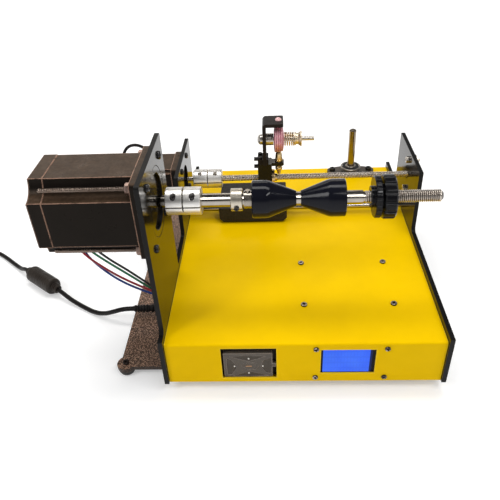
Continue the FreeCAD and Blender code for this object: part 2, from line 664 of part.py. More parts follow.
def stop_collar():
    """One-piece clamp collar with its slit at the front."""
    collar = rod(COLLAR_RADIUS, COLLAR_LENGTH, (COLLAR_START, *MAIN_MIDDLE))
    collar = collar.makeChamfer(0.5, [e for e in collar.Edges if e.Curve.TypeId == "Part::GeomCircle"])
    collar = collar.cut(rod(SPINDLE_RADIUS + RUN, COLLAR_LENGTH, (COLLAR_START, *MAIN_MIDDLE)))
    slit = block((COLLAR_START, SPINDLE_Y - COLLAR_RADIUS, SPINDLE_Z - 6), (COLLAR_START + COLLAR_LENGTH,
                 SPINDLE_Y, SPINDLE_Z - 5))
    x = COLLAR_START + COLLAR_LENGTH / 2
    front = SPINDLE_Y - COLLAR_RADIUS
    return collar.cut(slit).cut(rod(1.6, 3.4, (x, front, SPINDLE_Z - 3.2), Y_AXIS))


def drive_hub():
    """Set-screw hub that drives the fixed cone."""
    start = CONE_START - HUB_LENGTH
    hub = rod(HUB_RADIUS, HUB_LENGTH - FIT_GAP / 2, (start, *MAIN_MIDDLE))
    boss = rod(2.6, HUB_RADIUS + 1.8, (start + HUB_LENGTH / 2, *MAIN_MIDDLE), Z_AXIS)
    hub = joined([hub, boss])
    return hub.cut(rod(SPINDLE_RADIUS + RUN, HUB_LENGTH, (start, *MAIN_MIDDLE)))


def spindle_screws():
    screws = clamp_screws(COUPLING_START, COUPLING_LENGTH, COUPLING_RADIUS, SPINDLE_RADIUS, MAIN_MIDDLE,
                          MAIN_CLAMP_HEAD)
    x = COLLAR_START + COLLAR_LENGTH / 2
    front = SPINDLE_Y - COLLAR_RADIUS
    screws.append(cap_screw(1.5, 3.0, 2.6, 1.8, (x, front, SPINDLE_Z - 3.2), Y_AXIS))
    return group(screws)


def cone(start, towards):
    """Winding cone: a cylinder, a rounded shoulder and a taper to the shaft."""
    taper = CONE_RADIUS - CONE_TIP_RADIUS
    bore = SPINDLE_RADIUS + RUN
    profile = [(0, bore), (0, CONE_RADIUS - 0.8), (0.8, CONE_RADIUS), (CONE_CYLINDER, CONE_RADIUS)]
    for step in range(1, 5):
        share = step / 5
        along = CONE_CYLINDER + share * CONE_SHOULDER
        drop = taper * (CONE_SHOULDER / CONE_TAPER) * 0.6 * share * share
        profile.append((along, CONE_RADIUS - drop))
    profile += [(CONE_LENGTH, CONE_TIP_RADIUS), (CONE_LENGTH, bore)]
    return revolved(profile, (start, *MAIN_MIDDLE), X_AXIS * towards)


def left_cone():
    return cone(CONE_START, 1)


def right_cone():
    return cone(RIGHT_CONE_START + CONE_LENGTH, -1)


def clamp_disc():
    """Pressure flange with a stepped hub, a grooved rim and a ring of serrations."""
    start = CLAMP_START
    face = start + CLAMP_HUB_LENGTH
    end = start + CLAMP_DISC_LENGTH
    bore = THREAD_RADIUS + 0.3
    rim = CLAMP_DISC_RADIUS
    profile = [(start, bore), (start, CLAMP_HUB_RADIUS), (face, CLAMP_HUB_RADIUS), (face, rim - 1),
               (face + 1, rim), (end - 1, rim), (end, rim - 1), (end, bore)]
    disc = revolved(profile, (0, *MAIN_MIDDLE), X_AXIS)
    return disc.cut(group(rim_notches(face, end, CLAMP_DISC_RADIUS + 0.9, 1.5, 24)))


def rim_notches(start, end, circle, radius, count):
    notches = []
    for i in range(count):
        turn = 2 * math.pi * (i + 0.5) / count
        y = SPINDLE_Y + circle * math.cos(turn)
        z = SPINDLE_Z + circle * math.sin(turn)
        notches.append(rod(radius, end - start, (start, y, z)))
    return notches


def clamp_nut():
    """Hand nut with a scalloped rim, on the thread."""
    start = CLAMP_START + CLAMP_DISC_LENGTH + FIT_GAP
    end = start + KNOB_LENGTH
    bore = THREAD_RADIUS + RUN
    rim = KNOB_RADIUS
    profile = [(start, bore), (start, 13.0), (start + 1.6, 13.0), (start + 1.6, rim - 1), (start + 2.6, rim),
               (end - 1.4, rim), (end, rim - 1.4), (end, 12.0), (end + KNOB_NECK, 10.6),
               (end + KNOB_NECK, bore)]
    knob = revolved(profile, (0, *MAIN_MIDDLE), X_AXIS)
    return knob.cut(group(rim_notches(start + 1.6, end, KNOB_RADIUS + 0.7, KNOB_NOTCH_RADIUS, KNOB_LOBES)))


# ================================================================ traverse drive
def traverse_motor_body():
    """Flange with its pilot, laminated stack and rear cap of the traverse motor."""
    flange_start = -OUTER - STEP_FLANGE
    flange = rounded_square(STEP_SIZE, 2.5, flange_start, STEP_FLANGE, SCREW_MIDDLE)
    pilot = rod(STEP_PILOT_RADIUS, STEP_PILOT_HEIGHT, (-OUTER, *SCREW_MIDDLE))
    bore = rod(STEP_SHAFT_RADIUS + RUN, STEP_FLANGE + STEP_PILOT_HEIGHT, (flange_start, *SCREW_MIDDLE))
    holes = [rod(STEP_SCREW_RADIUS, STEP_FLANGE, (flange_start, y, z))
             for y, z in four(*SCREW_MIDDLE, STEP_BOLTS, STEP_BOLTS)]
    flange = joined([flange, pilot]).cut(bore).cut(group(holes))
    stack = notched_square(STEP_SIZE - 2.2, STEP_NOTCH, flange_start - STEP_STACK, STEP_STACK, SCREW_MIDDLE)
    cap_start = flange_start - STEP_STACK - STEP_END_CAP
    cap = rounded_square(STEP_SIZE - 2 * STEP_CAP_STEP, 2.5, cap_start, STEP_END_CAP, SCREW_MIDDLE)
    return group([flange, stack, cap])


def traverse_motor_screws():
    return group([cap_screw(STEP_SCREW_RADIUS, PLATE + 7, STEP_HEAD_RADIUS, STEP_HEAD_HEIGHT,
                            (-INNER, y, z), -X_AXIS)
                  for y, z in four(*SCREW_MIDDLE, STEP_BOLTS, STEP_BOLTS)])


def traverse_motor_shaft():
    start = -OUTER - STEP_FLANGE
    end = SCREW_COUPLING_START + SCREW_COUPLING_LENGTH / 2 - SHAFT_GAP
    return rod(STEP_SHAFT_RADIUS, end - start, (start, *SCREW_MIDDLE))


def traverse_coupling():
    return coupling_with_pockets(SCREW_COUPLING_START, SCREW_COUPLING_LENGTH, SCREW_COUPLING_RADIUS,
                                 STEP_SHAFT_RADIUS, SCREW_RADIUS, SCREW_MIDDLE, SCREW_CLAMP_HEAD)


def traverse_coupling_screws():
    return group(clamp_screws(SCREW_COUPLING_START, SCREW_COUPLING_LENGTH, SCREW_COUPLING_RADIUS,
                              SCREW_RADIUS, SCREW_MIDDLE, SCREW_CLAMP_HEAD))


def lead_screw():
    start = SCREW_COUPLING_START + SCREW_COUPLING_LENGTH / 2 + SHAFT_GAP
    end = OUTER + SCREW_END_REACH
    profile = [(start, 0), (start, SCREW_RADIUS), (end - 0.8, SCREW_RADIUS),
               (end, SCREW_RADIUS - 0.8), (end, 0)]
    return revolved(profile, (0, *SCREW_MIDDLE), X_AXIS)


def guide_rod():
    return rod(ROD_RADIUS, 2 * OUTER, (-OUTER, SCREW_Y, ROD_Z))


# ================================================================ flange bearings
def screw_bolt_heights():
    return [SCREW_Z + side * SCREW_BEARING_SPACING / 2 for side in (-1, 1)]


def post_bolt_places():
    return [POST_X + side * POST_BEARING_SPACING / 2 for side in (-1, 1)]


def flange_bearing(spacing, boss, ear, base, height, bore):
    """Two-bolt pillow flange lying on z = 0, with its bolts along X and its bore along Z."""
    half = spacing / 2
    plate = Part.makeCylinder(boss, base)
    ears = [Part.makeCylinder(ear, base, Vector(side * half, 0, 0)) for side in (-1, 1)]
    webs = []
    for side in (-1, 1):
        slope = math.acos((boss - ear) / half)
        near = [Vector(side * boss * math.cos(slope), sign * boss * math.sin(slope), 0) for sign in (-1, 1)]
        reach = side * (half + ear * math.cos(slope))
        far = [Vector(reach, sign * ear * math.sin(slope), 0) for sign in (1, -1)]
        corners = near + far
        webs.append(Part.Face(Part.makePolygon(corners + corners[:1])).extrude(Z_AXIS * base))
    profile = [(0, 0), (0, 0.86 * boss), (base, 0.86 * boss), (height - 1.5, 0.72 * boss),
               (height, 0.64 * boss), (height, 0)]
    dome = revolved(profile, (0, 0, 0), Z_AXIS)
    body = joined([plate] + ears + webs + [dome])
    cuts = [Part.makeCylinder(bore, height)]
    cuts += [Part.makeCylinder(BEARING_BOLT_RADIUS + SCREW_GAP, base, Vector(side * half, 0, 0))
             for side in (-1, 1)]
    return body.cut(group(cuts))


def screw_bearing_housing():
    """Bearing of the traverse screw, on the outer face of the right side plate."""
    housing = flange_bearing(SCREW_BEARING_SPACING, SCREW_BEARING_BOSS, SCREW_BEARING_EAR, SCREW_BEARING_BASE,
                             SCREW_BEARING_HEIGHT, SCREW_RADIUS + RUN)
    housing.rotate(Vector(0, 0, 0), Y_AXIS, 90)
    housing.translate(Vector(OUTER, *SCREW_MIDDLE))
    return housing


def spool_bearing_housing():
    housing = flange_bearing(POST_BEARING_SPACING, POST_BEARING_BOSS, POST_BEARING_EAR, POST_BEARING_BASE,
                             POST_BEARING_HEIGHT, POST_JOURNAL_RADIUS + RUN)
    housing.translate(Vector(POST_X, POST_Y, COVER_HEIGHT))
    return housing


def bearing_bolts():
    bolts = []
    for z in screw_bolt_heights():
        reach = PLATE + SCREW_BEARING_BASE + 5
        bolt = cap_screw(BEARING_BOLT_RADIUS, reach, BEARING_BOLT_HEAD, BEARING_BOLT_HEAD_HEIGHT,
                         (INNER, SCREW_Y, z), X_AXIS)
        nut = hexagon(4.6, 4.0, (OUTER + SCREW_BEARING_BASE, SCREW_Y, z), X_AXIS)
        bolts.append(joined([bolt, nut]))
    for x in post_bolt_places():
        seat = COVER_HEIGHT + POST_BEARING_BASE
        bolt = cap_screw(BEARING_BOLT_RADIUS, POST_BEARING_BASE + SHEET + 6, BEARING_BOLT_HEAD,
                         BEARING_BOLT_HEAD_HEIGHT, (x, POST_Y, seat), -Z_AXIS)
        nut = hexagon(4.6, 4.0, (x, POST_Y, COVER_HEIGHT - SHEET), -Z_AXIS)
        bolts.append(joined([bolt, nut]))
    return group(bolts)


def spool_post():
    """Upright rod: a journal in its bearing, and a shoulder just above it."""
    bottom = COVER_HEIGHT + FIT_GAP
    length = POST_TOP - bottom
    profile = [(0, 0), (0, POST_JOURNAL_RADIUS), (POST_BEARING_HEIGHT, POST_JOURNAL_RADIUS),
               (POST_BEARING_HEIGHT, POST_RADIUS), (length - POST_CHAMFER, POST_RADIUS),
               (length, POST_RADIUS - POST_CHAMFER), (length, 0)]
    return revolved(profile, (POST_X, POST_Y, bottom), Z_AXIS)


# ================================================================ carriage
def carriage_slab():
    right = CARRIAGE_LEFT + CARRIAGE_WIDTH
    back = CARRIAGE_FRONT + CARRIAGE_DEPTH
    slab = block((CARRIAGE_LEFT, CARRIAGE_FRONT, CARRIAGE_BOTTOM), (right, back, CARRIAGE_TOP))
    lower = edges_along(slab, Y_AXIS, lambda c: c.z < CARRIAGE_BOTTOM + 1)
    slab = slab.makeChamfer(CARRIAGE_CHAMFER, lower)
    slab = slab.makeFillet(1.5, edges_along(slab, Z_AXIS, lambda c: True))
    bore = rod(ROD_RADIUS + 1.0, CARRIAGE_WIDTH, (CARRIAGE_LEFT, SCREW_Y, ROD_Z))
    seats = [rod(BUSH_RADIUS, BUSH_LENGTH, (x, SCREW_Y, ROD_Z)) for x in bush_starts()]
    return slab.cut(group([bore] + seats))


def bush_starts():
    return [CARRIAGE_LEFT, CARRIAGE_LEFT + CARRIAGE_WIDTH - BUSH_LENGTH]


def carriage_bushes():
    return group([rod(BUSH_RADIUS, BUSH_LENGTH, (x, SCREW_Y, ROD_Z)).cut(
        rod(ROD_RADIUS + RUN, BUSH_LENGTH, (x, SCREW_Y, ROD_Z))) for x in bush_starts()])


def tension_block():
    """Block that holds the traverse nut, with the wire-guide table on top."""
    left = NUT_BLOCK_LEFT
    right = left + NUT_BLOCK_WIDTH
    half = NUT_BLOCK_DEPTH / 2
    column = block((left, SCREW_Y - half, CARRIAGE_TOP), (right, SCREW_Y + half, NUT_BLOCK_TOP))
    column = column.makeFillet(1.5, edges_along(column, Z_AXIS, lambda c: True))
    table = block((left + 2, SCREW_Y - TABLE_DEPTH / 2, NUT_BLOCK_TOP - TABLE_THICK),
                  (left + TABLE_REACH, SCREW_Y + TABLE_DEPTH / 2, NUT_BLOCK_TOP))
    table = table.makeFillet(4.0, edges_along(table, Z_AXIS, lambda c: c.x > right))
    body = joined([column, table])
    cuts = [rod(NUT_BODY_RADIUS, NUT_BLOCK_WIDTH, (left, *SCREW_MIDDLE)),
            rod(NOZZLE_RADIUS, TABLE_THICK, (EYELET_X, SCREW_Y, NUT_BLOCK_TOP - TABLE_THICK), Z_AXIS)]
    cuts.append(rod(CARRIAGE_SCREW_RADIUS, NUT_BLOCK_WIDTH, (left, SCREW_Y, NUT_BLOCK_TOP - BLOCK_SCREW_DROP)))
    cuts += [rod(CARRIAGE_SCREW_RADIUS, 9.0, (x, y, NUT_BLOCK_TOP - 9.0), Z_AXIS)
             for x, y in bracket_screw_places()]
    return body.cut(group(cuts))


def side_block_screws():
    """Left end, height and length of the two screws from the left: in the bracket's foot and in the block."""
    return [(BRACKET_FOOT_LEFT, NUT_BLOCK_TOP + BRACKET_FOOT_THICK / 2, BRACKET_FOOT_RIGHT - BRACKET_FOOT_LEFT),
            (NUT_BLOCK_LEFT, NUT_BLOCK_TOP - BLOCK_SCREW_DROP, NUT_BLOCK_WIDTH)]


def bracket_screw_places():
    x = 0.5 * (BRACKET_FOOT_LEFT + BRACKET_X) - 0.6
    return [(x, SCREW_Y + side * BRACKET_SCREW_SPACING / 2) for side in (-1, 1)]


def lead_nut():
    """Flanged nut of the traverse screw: body in the block, flange and nose on its right."""
    right = NUT_BLOCK_LEFT + NUT_BLOCK_WIDTH
    length = NUT_BLOCK_WIDTH + NUT_FLANGE_LENGTH + NUT_NOSE
    body = rod(NUT_BODY_RADIUS, length, (NUT_BLOCK_LEFT, *SCREW_MIDDLE))
    flange = rod(NUT_FLANGE_RADIUS, NUT_FLANGE_LENGTH, (right, *SCREW_MIDDLE))
    nut = joined([body, flange])
    return nut.cut(rod(SCREW_RADIUS + RUN, length, (NUT_BLOCK_LEFT, *SCREW_MIDDLE)))


def carriage_screws():
    screws = [cap_screw(CARRIAGE_SCREW_RADIUS, length - 1, CARRIAGE_HEAD_RADIUS, 5.0,
                        (left, SCREW_Y, z), X_AXIS)
              for left, z, length in side_block_screws()]
    seat = NUT_BLOCK_TOP + BRACKET_FOOT_THICK
    screws += [cap_screw(CARRIAGE_SCREW_RADIUS, BRACKET_FOOT_THICK + 8, CARRIAGE_HEAD_RADIUS, 2.4,
                         (x, y, seat), -Z_AXIS)
               for x, y in bracket_screw_places()]
    return group(screws)


def tension_bracket():
    """Folded bracket: foot, upright and the arm that carries the upper eyelet."""
    half = BRACKET_DEPTH / 2
    low, high = SCREW_Y - half, SCREW_Y + half
    upright = block((BRACKET_X, low, NUT_BLOCK_TOP), (BRACKET_X + BRACKET_THICK, high, BRACKET_TOP))
    arm = block((BRACKET_X, low, BRACKET_TOP - BRACKET_THICK), (BRACKET_X + BRACKET_ARM, high, BRACKET_TOP))
    foot = block((BRACKET_FOOT_LEFT, SCREW_Y - NUT_BLOCK_DEPTH / 2, NUT_BLOCK_TOP),
                 (BRACKET_FOOT_RIGHT, SCREW_Y + NUT_BLOCK_DEPTH / 2, NUT_BLOCK_TOP + BRACKET_FOOT_THICK))
    body = joined([upright, arm, foot])
    bend = edges_along(body, Y_AXIS, lambda c: abs(c.x - BRACKET_X) < 0.1 and c.z > BRACKET_TOP - 1)
    body = body.makeFillet(BRACKET_BEND, bend)
    tips = edges_along(body, Z_AXIS, lambda c: c.x > BRACKET_X + BRACKET_ARM - 0.1)
    body = body.makeFillet(2.5, tips)
    cuts = [rod(STUD_RADIUS + 0.05, BRACKET_THICK, (BRACKET_X, SCREW_Y, TENSION_Z)),
            rod(EYELET_RADIUS - 1.4, BRACKET_THICK, (EYELET_X, SCREW_Y, BRACKET_TOP - BRACKET_THICK), Z_AXIS)]
    left, z, length = side_block_screws()[0]
    cuts.append(rod(CARRIAGE_SCREW_RADIUS, length, (left, SCREW_Y, z)))
    for x, y in bracket_screw_places():
        cuts.append(rod(CARRIAGE_SCREW_RADIUS + SCREW_GAP, BRACKET_FOOT_THICK, (x, y, NUT_BLOCK_TOP), Z_AXIS))
    return body.cut(group(cuts))


def eyelet(radius, waist, bore, top, bottom, centre):
    """Flanged wire eyelet: a rounded bead above and a rim below a plate from bottom to top."""
    profile = [(bottom - 1.6, bore + 0.6), (bottom - 1.6, radius - 0.8), (bottom, radius), (bottom, waist),
               (top, waist), (top, radius), (top + 1.2, radius - 0.3), (top + 2.2, radius - 1.3),
               (top + 2.6, bore + 0.6), (top + 1.8, bore), (bottom - 0.8, bore)]
    return revolved(profile, (centre[0], centre[1], 0), Z_AXIS)


def top_eyelet():
    return eyelet(EYELET_RADIUS, EYELET_RADIUS - 1.4, EYELET_BORE, BRACKET_TOP, BRACKET_TOP - BRACKET_THICK,
                  (EYELET_X, SCREW_Y))


def wire_nozzle():
    """Brass guide through the table: a domed head above and a slender nose below."""
    table_low = NUT_BLOCK_TOP - TABLE_THICK
    head = NUT_BLOCK_TOP
    profile = [(NOZZLE_BOTTOM, NOZZLE_BORE), (NOZZLE_BOTTOM, NOZZLE_BORE + 0.7),
               (NOZZLE_BOTTOM + 4, NOZZLE_RADIUS + 0.4), (table_low - 5, NOZZLE_RADIUS + 0.4),
               (table_low - 4, NOZZLE_RADIUS + 1.3), (table_low, NOZZLE_RADIUS + 1.3),
               (table_low, NOZZLE_RADIUS), (head, NOZZLE_RADIUS), (head, NOZZLE_HEAD_RADIUS),
               (head + 3, NOZZLE_HEAD_RADIUS), (NOZZLE_TOP - 4, NOZZLE_HEAD_RADIUS - 0.9),
               (NOZZLE_TOP - 1.2, NOZZLE_HEAD_RADIUS - 2.0), (NOZZLE_TOP, NOZZLE_BORE + 1.0),
               (NOZZLE_TOP - 1, NOZZLE_BORE)]
    return revolved(profile, (EYELET_X, SCREW_Y, 0), Z_AXIS)


TENSION_MIDDLE = (SCREW_Y, TENSION_Z)
SPACER_START = BRACKET_X + BRACKET_THICK
DISCS_START = SPACER_START + SPACER_LENGTH + FIT_GAP
SPRING_START = DISCS_START + DISC_LENGTH + FIT_GAP
THUMB_START = SPRING_START + SPRING_LENGTH + FIT_GAP


def tension_stud():
    """Stud through the bracket, with its domed nut outside and the spacer inside."""
    start = BRACKET_X - STUD_NUT_LENGTH
    stud = rod(STUD_RADIUS, STUD_END - start - 1, (start + 1, *TENSION_MIDDLE))
    profile = [(start, 0), (start, 3.0), (start + 1.4, 5.4), (start + 3.2, STUD_NUT_RADIUS),
               (BRACKET_X, STUD_NUT_RADIUS), (BRACKET_X, 0)]
    nut = revolved(profile, (0, *TENSION_MIDDLE), X_AXIS)
    spacer = rod(SPACER_RADIUS, SPACER_LENGTH, (SPACER_START, *TENSION_MIDDLE))
    return joined([stud, nut, spacer])


def tension_discs():
    """Dished pressure discs with felt rings between them, free to turn on the stud."""
    start, end = DISCS_START, DISCS_START + DISC_LENGTH
    bore = STUD_RADIUS + RUN
    r = DISC_RADIUS
    profile = [(start, bore), (start, r - 6), (start + 0.6, r - 1.0), (start + 1.8, r), (start + 2.8, r),
               (start + 3.4, r - 1.2), (start + 4.2, r - 0.5), (start + 6.3, r - 0.5), (start + 6.8, r - 1.3),
               (start + 7.3, r - 0.5), (start + 9.4, r - 0.5), (start + 9.9, r - 1.4), (end - 2.4, r - 0.8),
               (end - 1.5, r - 1.2), (end - 0.6, r - 5), (end, 9.5), (end, bore)]
    return revolved(profile, (0, *TENSION_MIDDLE), X_AXIS)


def tension_spring():
    """Compression spring: a round wire on a helix between the discs and the thumb nut."""
    travel = SPRING_LENGTH - 2 * SPRING_WIRE
    helix = Part.makeHelix(travel / SPRING_TURNS, travel, SPRING_RADIUS)
    section = Part.Wire(Part.makeCircle(SPRING_WIRE, Vector(SPRING_RADIUS, 0, 0), Y_AXIS))
    spring = Part.Wire(helix.Edges).makePipeShell([section], True, True)
    spring.rotate(Vector(0, 0, 0), Y_AXIS, 90)
    spring.translate(Vector(SPRING_START + SPRING_WIRE, *TENSION_MIDDLE))
    return spring


def thumb_nut():
    start = THUMB_START
    end = start + THUMB_LENGTH
    bore = STUD_RADIUS + RUN
    rim = THUMB_RIM_RADIUS
    profile = [(start, bore), (start, THUMB_RADIUS + 1.4), (start + 1.4, THUMB_RADIUS + 1.4),
               (start + 1.9, THUMB_RADIUS), (start + 4.4, THUMB_RADIUS), (end - 1.4, rim), (end, rim),
               (end, bore)]
    nut = revolved(profile, (0, *TENSION_MIDDLE), X_AXIS)
    notches = []
    for i in range(16):
        turn = 2 * math.pi * i / 16
        y = SCREW_Y + (rim + 0.5) * math.cos(turn)
        z = TENSION_Z + (rim + 0.5) * math.sin(turn)
        notches.append(rod(0.9, 5, (end - 4.5, y, z)))
    return nut.cut(group(notches))


# ================================================================ display and keypad
def lcd_module():
    """Display module behind the panel: bezel frame with its circuit board."""
    behind = SHEET + FIT_GAP
    width, height = LCD_HOLES_X + 8, LCD_HOLES_Z + 6
    x, z = LCD_HOLES_MID
    board = block((x - width / 2, behind + 4, z - height / 2), (x + width / 2, behind + 5.6, z + height / 2))
    frame = block((LCD_X - LCD_WIDTH / 2 - 2, behind, LCD_Z - LCD_HEIGHT / 2 - 2),
                  (LCD_X + LCD_WIDTH / 2 + 2, behind + LCD_BODY_DEPTH, LCD_Z + LCD_HEIGHT / 2 + 2))
    pocket = block((LCD_X - LCD_WIDTH / 2 + 0.5, behind - 1, LCD_Z - LCD_HEIGHT / 2 + 0.5),
                   (LCD_X + LCD_WIDTH / 2 - 0.5, behind + GLASS + 0.1, LCD_Z + LCD_HEIGHT / 2 - 0.5))
    module = joined([board, frame]).cut(pocket)
    return module.cut(group([rod(M3_RADIUS + SCREW_GAP, 9, (hx, behind, hz), Y_AXIS)
                             for hx, hz in four(*LCD_HOLES_MID, LCD_HOLES_X, LCD_HOLES_Z)]))


def lcd_window():
    behind = SHEET + FIT_GAP
    return block((LCD_X - LCD_WIDTH / 2 + 0.6, behind, LCD_Z - LCD_HEIGHT / 2 + 0.6),
                 (LCD_X + LCD_WIDTH / 2 - 0.6, behind + GLASS, LCD_Z + LCD_HEIGHT / 2 - 0.6))


def key_outlines():
    """Outlines of the four triangular keys, in X and Z about the middle of the pad's face."""
    outlines = {}
    for name, side in (("key_left", -1), ("key_right", 1)):
        tip = side * (KEY_STEP_X - KEY_REACH_X / 2)
        outer = side * (KEY_STEP_X + KEY_REACH_X / 2)
        outlines[name] = [(tip, 0), (outer, KEY_SPAN_Z), (outer, -KEY_SPAN_Z)]
    for name, side in (("key_down", -1), ("key_up", 1)):
        tip = side * (KEY_STEP_Z - KEY_REACH_Z / 2)
        outer = side * (KEY_STEP_Z + KEY_REACH_Z / 2)
        outlines[name] = [(0, tip), (KEY_SPAN_X, outer), (-KEY_SPAN_X, outer)]
    return outlines


KEY_BACK = PAD_FACE_RECESS + 3.6


def key_prism(name, grow, front, back):
    """A key's outline, grown all round, between two depths behind the panel's face."""
    if name == "key_centre":
        rx, rz = CENTRE_KEY_RADIUS_X + grow, CENTRE_KEY_RADIUS_Z + grow
        middle = Vector(PAD_X, front, PAD_FACE_Z)
        shape = Part.Face(Part.Wire(Part.Ellipse(middle, rx, rz).toShape()))
        shape.rotate(middle, X_AXIS, 90)
        return shape.extrude(Y_AXIS * (back - front))
    corners = [Vector(PAD_X + x, front, PAD_FACE_Z + z) for x, z in key_outlines()[name]]
    face = Part.Face(Part.makePolygon(corners + corners[:1]))
    if grow:
        face = Part.Face(face.makeOffset2D(grow, 2).OuterWire)
    return face.extrude(Y_AXIS * (back - front))


KEY_NAMES = ("key_up", "key_down", "key_left", "key_right", "key_centre")


def keypad_body():
    """Frame that fills the panel opening, with a recessed pad that the keys stand through."""
    fit = 0.2
    low_x, high_x = PAD_X - PAD_WIDTH / 2 + fit, PAD_X + PAD_WIDTH / 2 - fit
    low_z, high_z = PAD_Z - PAD_HEIGHT / 2 + fit, PAD_Z + PAD_HEIGHT / 2 - fit
    body = block((low_x, PAD_FRAME_RECESS, low_z), (high_x, PAD_DEPTH, high_z))
    rim = block((low_x - 2.5, SHEET + FIT_GAP, low_z - 2.5), (high_x + 2.5, PAD_DEPTH, high_z + 2.5))
    recess = block((PAD_X - PAD_FACE_WIDTH / 2, 0, PAD_FACE_Z - PAD_FACE_HEIGHT / 2),
                   (PAD_X + PAD_FACE_WIDTH / 2, PAD_FACE_RECESS, PAD_FACE_Z + PAD_FACE_HEIGHT / 2))
    body = joined([body, rim]).cut(recess)
    floor = KEY_BACK + KEY_TRAVEL + FIT_GAP
    return body.cut(group([key_prism(name, 0.3, PAD_FACE_RECESS, floor) for name in KEY_NAMES]))


def key(name):
    """A key with a dished face."""
    front = PAD_FACE_RECESS - KEY_PROUD
    body = key_prism(name, 0, front, KEY_BACK)
    if name == "key_centre":
        return body
    x = sum(p[0] for p in key_outlines()[name]) / 3
    z = sum(p[1] for p in key_outlines()[name]) / 3
    dish = Part.makeSphere(16.0, Vector(PAD_X + x, front - 16.0 + 0.7, PAD_FACE_Z + z))
    return body.cut(dish)


# ================================================================ electronics
def control_board():
    """Controller board on four standoffs inside the cover."""
    width, depth, thick = BOARD_SIZE
    x, y = sum(DECK_HOLES_X) / 2, sum(DECK_HOLES_Y) / 2
    top = COVER_HEIGHT - SHEET - FIT_GAP - BOARD_LIFT
    low = top - thick
    board = block((x - width / 2, y - depth / 2, low), (x + width / 2, y + depth / 2, top))
    posts = [rod(STANDOFF_RADIUS, BOARD_LIFT, (px, py, top), Z_AXIS).cut(
        rod(DECK_SCREW_RADIUS + RUN, BOARD_LIFT, (px, py, top), Z_AXIS))
        for px in DECK_HOLES_X for py in DECK_HOLES_Y]
    parts = [block((x + left, y + front, low - height), (x + left + wide, y + front + deep, low))
             for left, front, wide, deep, height in (HEAT_SINK, TRANSFORMER, TERMINALS)]
    return joined([board] + posts + parts)


def power_socket():
    """Round power jack through the left side plate."""
    flange = rod(JACK_FLANGE_RADIUS, JACK_FLANGE, (-OUTER - JACK_FLANGE, JACK_Y, JACK_Z))
    body = rod(JACK_RADIUS, JACK_LENGTH, (-OUTER, JACK_Y, JACK_Z))
    jack = joined([flange, body])
    return jack.cut(rod(PLUG_PIN_RADIUS + 0.15, 12.0, (-OUTER - JACK_FLANGE, JACK_Y, JACK_Z)))


# ================================================================ cords
def corner_arc(before, corner, after, radius):
    """Tangent points and middle point of the arc that rounds a corner of a route."""
    a = (before - corner).normalize()
    b = (after - corner).normalize()
    half = math.acos(max(-1.0, min(1.0, a.dot(b)))) / 2
    reach = radius / math.tan(half)
    bisector = (a + b).normalize()
    centre = corner + bisector * (radius / math.sin(half))
    return corner + a * reach, centre - bisector * radius, corner + b * reach


def route_path(points):
    """Straight runs joined by tangent arcs as large as the runs allow."""
    radii = []
    edges = []
    last = points[0]
    for before, corner, after in zip(points, points[1:], points[2:]):
        a = (before - corner).normalize()
        b = (after - corner).normalize()
        half_turn = (math.pi - math.acos(max(-1.0, min(1.0, a.dot(b))))) / 2
        run = min((before - corner).Length, (after - corner).Length)
        radius = 0.45 * run / math.tan(half_turn)
        radii.append(radius)
        start, middle, end = corner_arc(before, corner, after, radius)
        edges.append(Part.LineSegment(last, start).toShape())
        edges.append(Part.Arc(start, middle, end).toShape())
        last = end
    edges.append(Part.LineSegment(last, points[-1]).toShape())
    return Part.Wire(edges), radii


def cord(name, route, radius):
    """Plain round tube along a route."""
    points = [Vector(*p) for p in route]
    path, radii = route_path(points)
    first = (points[1] - points[0]).normalize()
    section = Part.Wire(Part.makeCircle(radius, points[0], first))
    tube = path.makePipeShell([section], True, False)
    share = tube.Volume / (math.pi * radius ** 2 * path.Length)
    print(name, "length %.0f" % path.Length, "volume share %.4f" % share,
          "radii", " ".join("%.0f" % r for r in radii))
    return tube


LEAD_Z = GROUND + LEAD_RADIUS + 0.1

# from the plug's strain relief down to the bench and up to the ferrite bead
LEAD_NEAR = [(PLUG_TAIL, JACK_Y, JACK_Z), (PLUG_TAIL - 14, JACK_Y + 0.6, JACK_Z - 1.5),
             (PLUG_TAIL - 27, JACK_Y + 3.5, JACK_Z - 8), (PLUG_TAIL - 41, JACK_Y + 8.5, LEAD_Z + 4.5),
             (PLUG_TAIL - 57, JACK_Y + 16, LEAD_Z), (PLUG_TAIL - 75, JACK_Y + 27, LEAD_Z + 0.4),
             (-302.0, 150.0, LEAD_Z + 3.0), (-314.0, 158.5, GROUND + FERRITE_RADIUS - 2.0)]

FERRITE_START = Vector(-324.0, 166.0, GROUND + FERRITE_RADIUS + 0.1)
FERRITE_WAY = Vector(-0.79, 0.613, 0).normalize()


def coil_centre():
    return Vector(-530.0, 325.0, GROUND)


# from the ferrite bead to the coil
LEAD_FAR_START = FERRITE_START + FERRITE_WAY * (FERRITE_LENGTH + 2 * FERRITE_SLEEVE)


def lead_far_route():
    start = LEAD_FAR_START
    way = FERRITE_WAY
    ring = coil_centre()
    return [tuple(start), tuple(start + way * 11 - Z_AXIS * 2.0), tuple(start + way * 23 - Z_AXIS * 7.0),
            tuple(start + way * 37 + Vector(-1, 2, LEAD_Z - start.z + 0.6)), (-442.0, 262.0, LEAD_Z),
            (-462.0, 271.5, LEAD_Z + 0.3), (-481.5, 278.4, LEAD_Z), (-499.5, 282.6, LEAD_Z + 0.2),
            (ring.x + 14.0, ring.y - 40.4, LEAD_Z)]


def power_lead():
    near = cord("power_lead near", LEAD_NEAR + [tuple(FERRITE_START)], LEAD_RADIUS)
    far = cord("power_lead far", lead_far_route(), LEAD_RADIUS)
    return group([near, far])


